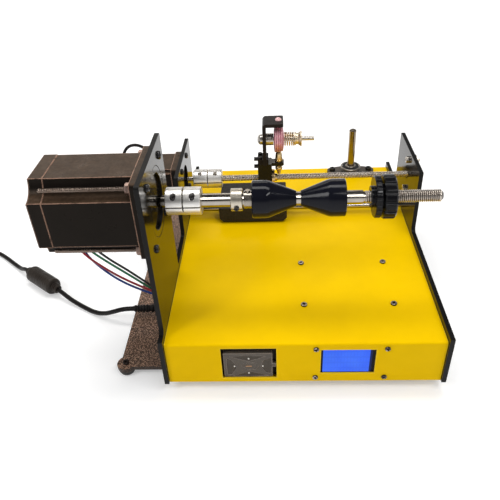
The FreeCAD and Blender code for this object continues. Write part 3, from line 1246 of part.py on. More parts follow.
def lead_coil():
    """Outer shape of the neat coil that the rest of the lead is wound into."""
    across = COIL_TURNS_ACROSS * 2 * LEAD_RADIUS
    up = COIL_TURNS_UP * 2 * LEAD_RADIUS
    low, high = COIL_MID_RADIUS - across / 2, COIL_MID_RADIUS + across / 2
    profile = [(0.1, low + 1.5), (0.1, high - 1.5), (1.6, high), (up - 1.5, high), (up, high - 1.5),
               (up, low + 1.5), (up - 1.5, low), (1.6, low)]
    return revolved(profile, tuple(coil_centre()), Z_AXIS)


def lead_ferrite():
    """Moulded ferrite bead with ribbed sleeves at both ends."""
    end = FERRITE_SLEEVE + FERRITE_LENGTH
    total = end + FERRITE_SLEEVE
    near, bead = FERRITE_SLEEVE, FERRITE_RADIUS
    profile = [(0, 0), (0, 4.6), (1.6, 5.0), (1.6, 6.2), (3.6, 6.4), (3.6, 5.2), (5.2, 5.3), (5.2, 6.8),
               (7.4, 7.0), (near, 7.2), (near + 0.5, bead - 1.6), (near + 2.2, bead),
               (end - 2.2, bead), (end - 0.5, bead - 1.6), (end, 7.2), (end + 1.6, 7.0),
               (end + 3.8, 6.8), (end + 3.8, 5.3), (end + 5.4, 5.2), (end + 5.4, 6.4), (total - 1.6, 6.2),
               (total - 1.6, 5.0), (total, 4.6), (total, 0)]
    points = [FERRITE_START + FERRITE_WAY * along + Z_AXIS * radius for along, radius in profile]
    face = Part.Face(Part.makePolygon(points + points[:1]))
    return face.revolve(FERRITE_START, FERRITE_WAY, 360)


def lead_plug():
    """Barrel plug in the jack, with its moulded body and tapered strain relief."""
    face = -OUTER - JACK_FLANGE - FIT_GAP
    tail = face - PLUG_LENGTH
    body, relief = PLUG_BODY_RADIUS, tail - PLUG_RELIEF_LENGTH
    pin = face + PLUG_PIN_LENGTH
    profile = [(pin, 0), (pin, PLUG_PIN_RADIUS), (face, PLUG_PIN_RADIUS),
               (face, body), (face - 9, body), (face - 10, body - 0.6), (tail + 5, body - 0.9),
               (tail, body - 1.2), (relief + 2, 3.6), (relief, 3.3), (relief, 0)]
    return revolved(profile, (0, JACK_Y, JACK_Z), X_AXIS)


def lead_connector():
    """Connector on the far end of the lead, lying beside the coil."""
    ring = coil_centre()
    x, y, z = ring.x - COIL_MID_RADIUS - 2 * LEAD_RADIUS, ring.y + 13.0, GROUND + 6.2
    profile = [(0, 0), (0, 3.2), (16, 4.4), (18, 5.6), (36, 6.0), (38, 5.4), (38, 5.0), (48, 5.0), (48, 0)]
    return revolved(profile, (x, y, z), Y_AXIS)


# motor leads: from the back of the winding motor down to the hole in the left side plate
MOTOR_BACK = SPINDLE_Y + MOTOR_SIZE / 2
WIRE_EXIT_X = -OUTER - MOTOR_FLANGE - MOTOR_STACK - MOTOR_END_CAP / 2
WIRE_LANES = {
    "red": (-3.0, [(0, 8, -3), (-1, 13, -13), (-3, 13, -34), (-4, 9, -60), (6, 7, -82), (26, 7, -104),
                   (48, 7, -124)], (-1.8, 1.6)),
    "green": (0.6, [(1, 10, -3), (1, 16, -13), (0, 18, -33), (-1, 13.5, -58), (11, 11, -80), (32, 11, -101),
                    (54, 11, -121)], (1.8, -1.4)),
    "blue": (4.2, [(1, 12, -4), (1, 20, -15), (-1, 23, -38), (-2, 19, -64), (3, 15, -88), (20, 13, -112),
                   (44, 11, -135)], (-1.6, -2.0)),
    "black": (7.6, [(0, 13, -2), (0.5, 23, -10), (-0.5, 27, -28), (-1, 23, -52), (7, 17.5, -75),
                    (26.5, 15, -97), (48, 15, -116.5)], (1.9, 2.3)),
}


def wire_route(colour):
    lane, middle, (end_y, end_z) = WIRE_LANES[colour]
    x, y, z = WIRE_EXIT_X + lane, MOTOR_BACK, SPINDLE_Z - 18.0
    route = [(x, y, z)] + [(x + dx, y + dy, z + dz) for dx, dy, dz in middle]
    near = (-OUTER - 22.0, WIRE_HOLE_Y + end_y + 1.0, WIRE_HOLE_Z + end_z + 5.0)
    return route + [near, (-OUTER - 9.0, WIRE_HOLE_Y + end_y, WIRE_HOLE_Z + end_z + 0.5),
                    (-OUTER + PLATE, WIRE_HOLE_Y + end_y, WIRE_HOLE_Z + end_z)]


def motor_wires():
    return group([cord("motor wire " + colour, wire_route(colour), WIRE_RADIUS) for colour in WIRE_LANES])


# cable of the traverse motor: up from its rear cap, over in a loop and down to its hole in the side plate
CABLE_START = Vector(-OUTER - STEP_FLANGE - STEP_STACK - STEP_END_CAP / 2, SCREW_Y,
                     SCREW_Z + STEP_SIZE / 2 - STEP_CAP_STEP)
CABLE_WAY = [(0, 0, 7.5), (-4, 0.6, 16), (-12, 1.5, 22), (-21.5, 2.5, 23.7), (-30.5, 3, 20.5), (-37, 2.5, 12),
             (-39.5, 1, -2.5), (-39, -3, -25.5), (-35.5, -10, -53.5), (-27, -20.5, -83.5), (-14.5, -32, -108.5)]


def traverse_motor_cable():
    route = [tuple(CABLE_START)] + [tuple(CABLE_START + Vector(*step)) for step in CABLE_WAY]
    y, z = CABLE_HOLE_Y, CABLE_HOLE_Z
    route += [(-OUTER - 35.5, y + 4.5, z + 8), (-OUTER - 18.5, y + 1, z + 1.5), (-OUTER - 7, y, z),
              (-INNER, y, z)]
    return cord("traverse motor cable", route, CABLE_RADIUS)


# ================================================================ assembly
SHAPES = {
    "base_plate": base_plate, "rubber_feet": rubber_feet, "machine_screws": machine_screws,
    "deck_cover": deck_cover, "left_side_plate": left_side_plate, "right_side_plate": right_side_plate,
    "main_motor_caps": main_motor_caps, "main_motor_body": main_motor_body,
    "main_motor_bolts": main_motor_bolts,
    "traverse_motor_body": traverse_motor_body, "traverse_motor_screws": traverse_motor_screws,
    "guide_rod": guide_rod, "screw_bearing_housing": screw_bearing_housing,
    "spool_bearing_housing": spool_bearing_housing, "bearing_bolts": bearing_bolts, "spool_post": spool_post,
    "lcd_module": lcd_module, "lcd_window": lcd_window, "keypad_body": keypad_body,
    "control_board": control_board, "power_socket": power_socket, "main_motor_shaft": main_motor_shaft,
    "main_coupling": main_coupling, "spindle_screws": spindle_screws, "spindle_shaft": spindle_shaft,
    "stop_collar": stop_collar, "drive_hub": drive_hub, "left_cone": left_cone, "right_cone": right_cone,
    "clamp_disc": clamp_disc, "clamp_nut": clamp_nut, "traverse_motor_shaft": traverse_motor_shaft,
    "traverse_coupling": traverse_coupling, "traverse_coupling_screws": traverse_coupling_screws,
    "lead_screw": lead_screw, "carriage_slab": carriage_slab, "carriage_bushes": carriage_bushes,
    "lead_nut": lead_nut, "tension_block": tension_block, "carriage_screws": carriage_screws,
    "tension_bracket": tension_bracket, "top_eyelet": top_eyelet, "wire_nozzle": wire_nozzle,
    "tension_stud": tension_stud, "tension_discs": tension_discs, "tension_spring": tension_spring,
    "thumb_nut": thumb_nut,
}
CORDS = {
    "power_lead": power_lead, "lead_coil": lead_coil, "lead_ferrite": lead_ferrite, "lead_plug": lead_plug,
    "lead_connector": lead_connector, "motor_wires": motor_wires, "traverse_motor_cable": traverse_motor_cable,
}


def main():
    os.makedirs("parts", exist_ok=True)
    solids = {name: make() for name, make in SHAPES.items()}
    solids.update({name: key(name) for name in KEY_NAMES})
    box = FreeCAD.BoundBox()
    for shape in solids.values():
        box.add(shape.BoundBox)
    origin = Vector(-box.Center.x, -box.Center.y, -box.ZMin)
    print("layout origin moved by", origin)
    solids.update({name: make() for name, make in CORDS.items()})
    for name, shape in solids.items():
        shape.translate(origin)
        if not shape.isValid():
            print("invalid", name)
        shape.exportStep("parts/" + name + ".step")
    print(len(solids), "nodes")


main()
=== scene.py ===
"""Looks of the wire coil winding machine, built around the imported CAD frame.

Lengths in mm are in the layout frame of the part's source: X from the middle between the side
plates, Y from the front of the cover, Z from the top of the base plate.
"""

import json
import math

import bpy
from mathutils import Matrix, Vector
from mathutils.geometry import tessellate_polygon

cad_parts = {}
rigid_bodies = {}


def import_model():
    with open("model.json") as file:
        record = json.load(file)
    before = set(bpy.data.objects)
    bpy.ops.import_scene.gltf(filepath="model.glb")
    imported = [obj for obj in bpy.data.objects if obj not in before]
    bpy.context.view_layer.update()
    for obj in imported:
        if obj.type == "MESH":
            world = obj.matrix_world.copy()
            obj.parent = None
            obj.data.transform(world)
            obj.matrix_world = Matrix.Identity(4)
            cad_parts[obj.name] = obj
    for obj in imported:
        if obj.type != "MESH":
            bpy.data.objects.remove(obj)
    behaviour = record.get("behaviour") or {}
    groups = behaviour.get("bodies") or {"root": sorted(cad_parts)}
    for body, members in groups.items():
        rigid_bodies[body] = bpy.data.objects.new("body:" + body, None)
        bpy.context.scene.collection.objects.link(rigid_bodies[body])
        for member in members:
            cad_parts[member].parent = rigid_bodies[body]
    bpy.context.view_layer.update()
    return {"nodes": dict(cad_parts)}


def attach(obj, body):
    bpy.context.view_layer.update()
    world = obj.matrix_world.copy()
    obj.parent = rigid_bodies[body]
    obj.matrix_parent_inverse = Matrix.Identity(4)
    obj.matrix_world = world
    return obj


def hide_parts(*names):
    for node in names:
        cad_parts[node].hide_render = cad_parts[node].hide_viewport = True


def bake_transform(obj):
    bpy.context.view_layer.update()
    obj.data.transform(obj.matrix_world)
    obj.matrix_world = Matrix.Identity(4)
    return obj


for stray in list(bpy.data.objects):
    bpy.data.objects.remove(stray)
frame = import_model()

MM = 0.001
SHIFT = Vector((50.25, -193.5, 14.0))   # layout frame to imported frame
GROUND = -14.0
OUTER, INNER = 152.5, 147.5             # faces of the side plates
SPINDLE_Y, SPINDLE_Z = 75.0, 187.0
SCREW_Y, SCREW_Z = 255.0, 114.0         # traverse screw
STUD_Z = 169.0                          # the tensioner's stud, right above the screw
POST_X, POST_Y, BEARING_TOP, COLLAR_FOOT = 89.4, 369.0, 67.95, 67.9
MOTOR_BOLT_REACH, STEP_BOLT_REACH = 34.8, 23.57     # from a motor's axis to its screws
PILOT_RADIUS = 36.3                     # of the step ring in the left plate
X_AXIS, Z_AXIS = (1, 0, 0), (0, 0, 1)
NO_RADIUS = 1e-6


def at(x, y, z):
    """A layout point in metres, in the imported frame."""
    return (Vector((x, y, z)) + SHIFT) * MM


def placed(name, data):
    """An object that shows the data, in the scene."""
    made = bpy.data.objects.new(name, data)
    scene.collection.objects.link(made)
    return made


def clamped(value):
    return min(1.0, max(0.0, value))


scene = bpy.context.scene
scene.view_settings.view_transform = "Standard"

# ---- camera
FOCAL_PIXELS, PICTURE, SENSOR = 567.03, 500, 36.0
EYE = at(-28.174, -419.559, 480.894)
PITCH, YAW, ROLL = math.radians(35.784), math.radians(3.190), math.radians(-2.8725)
right = Vector((math.cos(YAW), math.sin(YAW), 0))
ahead = Vector((-math.sin(YAW) * math.cos(PITCH), math.cos(YAW) * math.cos(PITCH), -math.sin(PITCH)))
up = right.cross(ahead)
side = math.cos(ROLL) * right + math.sin(ROLL) * up
top = -math.sin(ROLL) * right + math.cos(ROLL) * up
camera = placed("camera", bpy.data.cameras.new("camera"))
camera.data.sensor_width = SENSOR
camera.data.lens = FOCAL_PIXELS / PICTURE * SENSOR
camera.data.clip_start, camera.data.clip_end = 0.05, 50.0
camera.matrix_world = Matrix.Translation(EYE) @ Matrix((side, top, -ahead)).transposed().to_4x4()
scene.camera = camera


# ---- materials
FINISHES = {}


def opaque(colour):
    """A colour with its alpha; a socket stays as it is."""
    return (*colour[:3], 1.0) if isinstance(colour, tuple) else colour


class Nodes:
    """One node tree, and short ways to add to it."""

    def __init__(self, tree):
        self.nodes, self.links = tree.nodes, tree.links

    def put(self, socket, value):
        if isinstance(value, bpy.types.NodeSocket):
            self.links.new(value, socket)
        else:
            socket.default_value = value

    def node(self, kind, settings=(), numbered=(), **named):
        """A node with its settings, then its inputs by number and by name."""
        made = self.nodes.new("ShaderNode" + kind)
        for key, value in dict(settings).items():
            setattr(made, key, value)
        for index, value in dict(numbered).items():
            self.put(made.inputs[index], value)
        for key, value in named.items():
            self.put(made.inputs[key.replace("_", " ")], value)
        return made

    def maths(self, operation, a, b=0.0, clamp=False):
        return self.node("Math", {"operation": operation, "use_clamp": clamp}, {0: a, 1: b}).outputs[0]

    def span(self, value, low, high, start=0.0, end=1.0):
        return self.node("MapRange", Value=value, From_Min=low, From_Max=high, To_Min=start, To_Max=end).outputs[0]


class Finish(Nodes):
    """One procedural material, kept by name: a Principled shader and the nodes that feed it."""

    def __init__(self, name, **sockets):
        FINISHES[name] = self.material = bpy.data.materials.new(name)
        self.material.use_nodes = True
        super().__init__(self.material.node_tree)
        self.shader = self.nodes["Principled BSDF"]
        self.place = self.node("TexCoord").outputs["Object"]
        self.normal = None
        for socket, value in sockets.items():
            self.shader.inputs[socket.replace("_", " ")].default_value = value

    def noise(self, scale, detail=3.0, rough=0.5, place=None):
        return self.node("TexNoise", Scale=scale, Detail=detail, Roughness=rough,
                         Vector=place or self.place).outputs[0]

    def patches(self, scale, detail, rough, low, high, start=0.0, end=1.0):
        """Noise, spread from its low and high values to start and end."""
        return self.span(self.noise(scale, detail, rough), low, high, start, end)

    def cells(self, scale, feature, place=None):
        return self.node("TexVoronoi", {"feature": feature}, Scale=scale, Vector=place or self.place).outputs[0]

    def stretched(self, x, y, z):
        """Place, scaled along each axis, for turned or laminated marks."""
        return self.node("Mapping", Vector=self.place, Scale=(x, y, z)).outputs[0]

    def axis(self, index):
        return self.node("SeparateXYZ", Vector=self.place).outputs[index]

    def facing(self, index):
        """How far the surface looks along one axis of the piece, from -1 to 1."""
        normal = self.node("TexCoord").outputs["Normal"]
        return self.node("SeparateXYZ", Vector=normal).outputs[index]

    def layout(self, index):
        """One coordinate of the layout frame, in mm."""
        return self.maths("SUBTRACT", self.maths("DIVIDE", self.axis(index), MM), SHIFT[index])

    def length(self, a, b):
        return self.maths("SQRT", self.maths("ADD", self.maths("MULTIPLY", a, a), self.maths("MULTIPLY", b, b)))

    def from_axis(self, y, z):
        """Distance in mm from an axis along X."""
        return self.length(self.maths("SUBTRACT", self.layout(1), y), self.maths("SUBTRACT", self.layout(2), z))

    def bars(self, value, pitch, gap, start=0.0):
        """1 on a row of bars, and 0 in the share of the pitch that is gap."""
        moved = self.maths("SUBTRACT", value, start) if start else value
        return self.maths("GREATER_THAN", self.maths("FRACT", self.maths("DIVIDE", moved, pitch)), gap)

    def mix(self, share, a, b):
        return self.node("Mix", {"data_type": "RGBA"}, {0: share, 6: opaque(a), 7: opaque(b)}).outputs[2]

    def mix_value(self, share, a, b):
        return self.node("Mix", (), {0: share, 2: a, 3: b}).outputs[0]

    def bevel(self, radius):
        return self.node("Bevel", {"samples": 6}, Radius=radius * MM).outputs[0]

    def rounded(self, radius):
        """Softly rounded edges."""
        self.normal = self.bevel(radius)
        self.put(self.shader.inputs["Normal"], self.normal)

    def edges(self, radius, sharp=0.25):
        """1 along outer and inner edges, 0 on the open faces."""
        true = self.node("NewGeometry").outputs["Normal"]
        dot = self.node("VectorMath", {"operation": "DOT_PRODUCT"}, {0: self.bevel(radius), 1: true})
        return self.span(dot.outputs["Value"], 1.0, 1.0 - sharp)

    def bump(self, height, depth, strength=1.0):
        """Bumps of a depth in mm, over the rounded edges."""
        made = self.node("Bump", Height=height, Distance=depth * MM, Strength=strength)
        if self.normal is not None:
            self.put(made.inputs["Normal"], self.normal)
        self.normal = made.outputs[0]
        self.put(self.shader.inputs["Normal"], self.normal)

    def colour(self, value):
        self.put(self.shader.inputs["Base Color"], opaque(value))

    def rough(self, value):
        self.put(self.shader.inputs["Roughness"], value)


def painted(name, base, dark, rough, level, grain, depth, edge_colour=None, edge=0.5, tint=(1, 1, 1), coat=0.0,
            edge_highlight=None):
    """Paint, powder coat or moulded plastic with faint mottling, grain and worn edges, and, where given, a painted
    highlight along all its edges.
    """
    f = Finish(name, Specular_IOR_Level=level, Specular_Tint=(*tint, 1.0), Coat_Weight=coat, Coat_Roughness=0.05)
    f.rounded(edge)
    mottle = f.patches(18, 5, 0.6, 0.32, 0.68)
    shade = f.mix(mottle, dark, base)
    if edge_colour:
        worn = f.maths("MULTIPLY", f.edges(edge * 1.4), f.patches(160, 4, 0.7, 0.4, 0.62), True)
        shade = f.mix(worn, shade, edge_colour)
    # painted highlight: a lighter colour along the edges and bends
    if edge_highlight:
        shade = f.mix(f.maths("MULTIPLY", f.edges(1.6, 0.15), 0.8), shade, edge_highlight)
    f.colour(shade)
    f.rough(f.patches(60, 4, 0.6, 0.3, 0.7, rough - 0.05, rough + 0.07))
    f.bump(f.noise(grain, 3, 0.55), depth, 0.6)
    return f.material


def metal(name, base, dark, rough, turned=0.0, edge=0.25, spots=0.0, spot_colour=(0.2, 0.14, 0.1)):
    """Bare metal: turned rings about X, patches of handling marks, and fine scratches."""
    f = Finish(name, Metallic=1.0)
    f.rounded(edge)
    patches = f.patches(45, 5, 0.65, 0.3, 0.72)
    shade = f.mix(patches, dark, base)
    if spots:
        shade = f.mix(f.maths("MULTIPLY", f.patches(210, 4, 0.6, 0.56, 0.7), spots, True), shade, spot_colour)
    f.colour(shade)
    rings = f.noise(1.0, 2, 0.6, f.stretched(2600, 4, 4))
    f.rough(f.span(f.maths("ADD", rings, f.noise(90, 3, 0.6)), 0.6, 1.4, rough - 0.07, rough + 0.12))
    if turned:
        f.bump(rings, turned, 0.5)
    return f.material


# the cover's last colour is a painted highlight along its fold and its other edges
painted("cover_yellow", (0.82, 0.52, 0.0), (0.76, 0.475, 0.0), 0.36, 0.07, 480, 0.03, edge=0.6,
        tint=(1.0, 0.72, 0.02), edge_highlight=(0.92, 0.66, 0.07))
painted("rubber", (0.030, 0.029, 0.027), (0.020, 0.019, 0.018), 0.62, 0.4, 1500, 0.05,
        edge_colour=(0.07, 0.068, 0.064), edge=0.8)
painted("screw_black", (0.014, 0.012, 0.011), (0.007, 0.006, 0.006), 0.26, 0.35, 1200, 0.01,
        edge_colour=(0.09, 0.08, 0.07), edge=0.25)
painted("cone_black", (0.006, 0.0065, 0.011), (0.004, 0.0042, 0.007), 0.15, 0.16, 700, 0.006, edge=0.6)
painted("plastic_black", (0.009, 0.009, 0.010), (0.005, 0.005, 0.0055), 0.15, 0.2, 1300, 0.010,
        edge_colour=(0.035, 0.034, 0.033), edge=0.5)
painted("bead_pink", (0.80, 0.52, 0.50), (0.72, 0.40, 0.40), 0.12, 0.6, 900, 0.005, edge=0.3, coat=0.8)
painted("cord_black", (0.012, 0.010, 0.009), (0.007, 0.006, 0.0055), 0.34, 0.15, 1100, 0.025, edge=0.4)
metal("steel", (0.44, 0.405, 0.36), (0.30, 0.275, 0.24), 0.12, turned=0.004)
metal("aluminium", (0.86, 0.84, 0.81), (0.74, 0.72, 0.69), 0.36, turned=0.006, edge=0.4)
metal("zinc_grey", (0.20, 0.18, 0.16), (0.125, 0.112, 0.10), 0.40, edge=0.7, spots=0.5)
metal("brass", (0.74, 0.56, 0.30), (0.60, 0.43, 0.20), 0.22, turned=0.004, spots=0.3, spot_colour=(0.36, 0.22, 0.10))


def plate_black():
    """Polished black plate: mirror-like faces, darker sawn edges with a few bare spots."""
    f = Finish("plate_black", Specular_IOR_Level=0.17)
    f.rounded(0.35)
    side = f.span(f.maths("ABSOLUTE", f.facing(0)), 0.55, 0.9)
    haze = f.patches(26, 5, 0.6, 0.35, 0.7)
    shade = f.mix(haze, (0.0050, 0.0042, 0.0036), (0.0085, 0.0070, 0.0056))
    shade = f.mix(side, (0.0020, 0.0016, 0.0014), shade)
    worn = f.maths("MULTIPLY", f.edges(0.6), f.patches(170, 4, 0.7, 0.5, 0.66), True)
    f.colour(f.mix(f.maths("MULTIPLY", worn, 0.6), shade, (0.13, 0.115, 0.10)))
    polish = f.patches(55, 4, 0.6, 0.3, 0.7, 0.085, 0.15)
    f.rough(f.maths("ADD", polish, f.span(side, 0, 1, 0.34, 0.0)))
    f.bump(f.noise(40, 2, 0.5), 0.02, 0.25)
    f.bump(f.noise(900, 3, 0.55), 0.003, 0.5)
    return f.material


def hammered():
    """Hammered enamel: fine copper-brown flecks between small dark pits, with painted shade on the side faces."""
    f = Finish("base_hammered", Specular_IOR_Level=0.35, Metallic=0.2)
    f.rounded(0.6)
    drift = f.node("TexNoise", Scale=900.0, Detail=2.0, Vector=f.place).outputs[1]
    wiggle = f.node("VectorMath", {"operation": "SCALE"}, {0: drift}, Scale=0.0009).outputs[0]
    cell = f.cells(740, "SMOOTH_F1", f.node("VectorMath", {"operation": "ADD"}, {0: f.place, 1: wiggle}).outputs[0])
    fleck = f.span(cell, 0.24, 0.46)
    fine = f.patches(1500, 3, 0.65, 0.40, 0.64)
    patch = f.patches(38, 4, 0.6, 0.3, 0.7)
    brown = f.mix(fine, (0.30, 0.165, 0.10), (0.80, 0.53, 0.38))
    brown = f.mix(f.maths("MULTIPLY", patch, 0.5), brown, (0.46, 0.24, 0.14))
    shade = f.mix(f.maths("MULTIPLY", fleck, 0.88), brown, (0.012, 0.007, 0.005))
    # painted shade: faces that don't look up are darkened towards near-black
    f.colour(f.mix(f.span(f.facing(2), 0.35, 0.8, 0.12, 1.0), (0.016, 0.010, 0.008), shade))
    f.rough(f.span(fine, 0, 1, 0.34, 0.5))
    f.bump(f.maths("ADD", cell, f.maths("MULTIPLY", fine, 0.25)), 0.16, 0.7)
    return f.material


def motor_black():
    """Near-black satin enamel of the motors, with a laminated stack and a turned pilot.

    Upward faces are painted a patchy brown, partly dust and partly a painted sheen of the overhead light; copper shows
    along the edges, partly as wear and partly as a painted highlight.
    """
    f = Finish("motor_black", Specular_IOR_Level=0.10, Specular_Tint=(1.0, 0.84, 0.70, 1.0))
    f.rounded(0.7)
    mottle = f.patches(24, 5, 0.6, 0.3, 0.7)
    shade = f.mix(mottle, (0.0034, 0.0027, 0.0023), (0.0066, 0.0051, 0.0042))
    # dust and painted sheen: upward faces turn a patchy brown
    dust_and_sheen = f.maths("MULTIPLY", f.span(f.facing(2), 0.55, 0.95), f.patches(55, 5, 0.65, 0.22, 0.6, 0.55))
    brown = f.mix(f.patches(300, 3, 0.6, 0.3, 0.7), (0.038, 0.0235, 0.0145), (0.068, 0.042, 0.026))
    shade = f.mix(dust_and_sheen, shade, brown)
    # wear and painted highlight: copper-coloured lines along the edges
    worn = f.maths("MULTIPLY", f.edges(1.3, 0.10), f.patches(110, 4, 0.7, 0.28, 0.46), True)
    shade = f.mix(f.maths("MULTIPLY", worn, 0.9), shade, (0.52, 0.31, 0.22))
    reach = f.from_axis(SPINDLE_Y, SPINDLE_Z)
    pilot = f.maths("MULTIPLY", f.span(f.layout(0), 0.3 - OUTER, 0.9 - OUTER),
                    f.span(reach, PILOT_RADIUS + 0.3, PILOT_RADIUS))
    f.colour(f.mix(pilot, shade, (0.010, 0.008, 0.006)))
    f.rough(f.mix_value(pilot, f.patches(70, 4, 0.6, 0.3, 0.7, 0.26, 0.40), 0.13))
    laminations = f.noise(1.0, 1, 0.5, f.stretched(1900, 3, 3))
    f.bump(laminations, 0.035, 0.45)
    f.bump(f.noise(650, 3, 0.6), 0.03, 0.5)
    return f.material


def printed_grey():
    """Coarse charcoal texture coat of the carriage."""
    f = Finish("print_grey", Specular_IOR_Level=0.22)
    f.rounded(0.6)
    grain = f.noise(820, 4, 0.7)
    f.colour(f.mix(f.span(grain, 0.35, 0.7), (0.005, 0.0045, 0.004), (0.040, 0.034, 0.028)))
    f.rough(f.patches(300, 3, 0.6, 0.3, 0.7, 0.42, 0.60))
    f.bump(grain, 0.22, 0.9)
    return f.material


def pink_anodised():
    """Pressure discs: rose-coloured satin face with turned rings, banded paler and darker across X, and paler along the
    edges.
    """
    f = Finish("felt_pink", Metallic=0.35, Specular_IOR_Level=0.5)
    f.rounded(0.5)
    ridges = f.span(f.maths("SINE", f.maths("MULTIPLY", f.layout(0), 2.35)), -0.6, 0.8)
    bands = f.maths("ADD", f.maths("MULTIPLY", ridges, 0.75),
                    f.span(f.noise(1.0, 3, 0.6, f.stretched(900, 3, 3)), 0.35, 0.66, 0.0, 0.25))
    shade = f.mix(bands, (0.40, 0.075, 0.13), (0.86, 0.48, 0.52))
    paler_edges = f.maths("MULTIPLY", f.edges(0.9), 0.8, True)
    f.colour(f.mix(paler_edges, shade, (0.86, 0.66, 0.66)))
    f.rough(f.patches(260, 3, 0.6, 0.3, 0.7, 0.28, 0.42))
    f.bump(bands, 0.05, 0.6)
    return f.material


LCD_START, LIT_END, FRAME_END, LCD_FOOT, LCD_HEAD = 19.6, 69.6, 71.9, 12.9, 46.9


def lit_display():
    """Backlit blank display: a lit blue field of fine pixels beside the dark strip of its frame."""
    f = Finish("lcd_blue", Specular_IOR_Level=0.08)
    x, z = f.layout(0), f.layout(2)
    lit = f.maths("MULTIPLY", f.span(x, LCD_START, LCD_START + 0.5), f.span(x, LIT_END, LIT_END - 0.6), True)
    edge = f.maths("MULTIPLY", f.span(x, FRAME_END, FRAME_END - 0.6),
                   f.span(x, LIT_END - 0.6, LIT_END, 0.0, 0.085))
    pixel = f.span(f.maths("MULTIPLY", f.bars(x, 0.43, 0.14), f.bars(z, 0.52, 0.14)), 0, 1, 0.90, 1.0)
    block = f.span(f.maths("MULTIPLY", f.bars(x, 3.4, 0.2, 1.2), f.bars(z, 8.2, 0.3, 1.0)), 0, 1, 1.0, 1.06)
    glow = f.patches(26, 2, 0.5, 0.3, 0.7, 0.93, 1.04)
    blue = f.mix(f.span(z, LCD_FOOT, LCD_HEAD), (0.046, 0.155, 1.0), (0.034, 0.135, 0.95))
    blue = f.mix(f.patches(40, 3, 0.5, 0.45, 0.7, 0, 0.35), blue, (0.075, 0.235, 1.0))
    strength = f.maths("MULTIPLY", f.maths("MULTIPLY", f.maths("MULTIPLY", pixel, block), glow),
                       f.maths("ADD", lit, edge))
    f.colour((0.005, 0.004, 0.005))
    f.put(f.shader.inputs["Emission Color"], blue)
    f.put(f.shader.inputs["Emission Strength"], f.maths("MULTIPLY", strength, 0.95))
    f.rough(f.patches(120, 3, 0.6, 0.3, 0.7, 0.10, 0.18))
    f.bump(f.noise(90, 2, 0.5), 0.01, 0.3)
    return f.material


def pad_plastic(name, light, dark, rim, level=0.35):
    """Grained plastic of the keypad, with a painted highlight: paler along its rims."""
    f = Finish(name, Specular_IOR_Level=level)
    f.rounded(0.3)
    grain = f.noise(1700, 4, 0.65)
    face = f.mix(f.span(grain, 0.35, 0.68), dark, light)
    # painted highlight: the rim colour lightens every edge of the piece
    f.colour(f.mix(f.maths("MULTIPLY", f.edges(0.9, 0.12), 0.85), face, rim))
    f.rough(f.patches(400, 3, 0.6, 0.3, 0.7, 0.42, 0.58))
    f.bump(grain, 0.10, 0.8)
    return f.material


def screws_by_place():
    """Fixing screws: oiled black, with bare metal on the tops of the deck screws, painted glints as light metal spots
    at random on the panel screws, and painted shade in the dark sockets below the tops.
    """
    f = Finish("machine_screw_steel", Specular_IOR_Level=0.35)
    f.rounded(0.2)
    # bare tops of the deck screws; the sockets below them stay dark as painted shade
    deck = f.span(f.layout(2), 58.15, 58.35)
    # painted glints: light metal spots at random on the panel screw heads
    panel_glints = f.maths("MULTIPLY", f.span(f.layout(1), -1.15, -1.35), f.patches(520, 2, 0.5, 0.49, 0.57, 0.0, 0.75))
    bare = f.maths("MULTIPLY", f.maths("MAXIMUM", deck, panel_glints), f.patches(500, 3, 0.6, 0.3, 0.5, 0.6, 1.0), True)
    f.colour(f.mix(bare, (0.013, 0.008, 0.006), (0.60, 0.52, 0.46)))
    f.put(f.shader.inputs["Metallic"], f.maths("MULTIPLY", bare, 0.95))
    f.rough(f.patches(300, 3, 0.6, 0.3, 0.7, 0.20, 0.34))
    f.bump(f.noise(1200, 3, 0.6), 0.008, 0.5)
    return f.material


def circuit_board():
    """Green solder mask with fine tracks."""
    f = Finish("board_green", Specular_IOR_Level=0.5)
    f.rounded(0.3)
    tracks = f.span(f.cells(260, "DISTANCE_TO_EDGE"), 0.02, 0.05)
    f.colour(f.mix(tracks, (0.03, 0.16, 0.06), (0.008, 0.075, 0.03)))
    f.rough(f.patches(200, 3, 0.5, 0.3, 0.7, 0.25, 0.4))
    f.bump(tracks, 0.04, 0.5)
    return f.material


for make in (plate_black, hammered, motor_black, printed_grey, pink_anodised, lit_display):
    make()
pad_plastic("pad_grey", (0.104, 0.087, 0.070), (0.060, 0.049, 0.038), (0.34, 0.285, 0.245))
pad_plastic("key_dark", (0.062, 0.047, 0.033), (0.034, 0.026, 0.018), (0.15, 0.122, 0.098))
circuit_board()
for wire, sheath in {"sheath": (0.02, 0.06, 0.30), "red": (0.42, 0.022, 0.035), "green": (0.02, 0.20, 0.085),
                     "blue": (0.012, 0.055, 0.32), "black": (0.012, 0.010, 0.010)}.items():
    painted("wire_" + wire, sheath, tuple(0.6 * c for c in sheath), 0.32, 0.45, 900, 0.02, edge=0.3)
DOT_WHITE = painted("dot_white", (0.86, 0.82, 0.74), (0.78, 0.74, 0.66), 0.35, 0.5, 900, 0.01, edge=0.2)
SCREW_ZINC = metal("screw_zinc", (0.55, 0.50, 0.44), (0.34, 0.30, 0.26), 0.30, edge=0.25, spots=0.4)
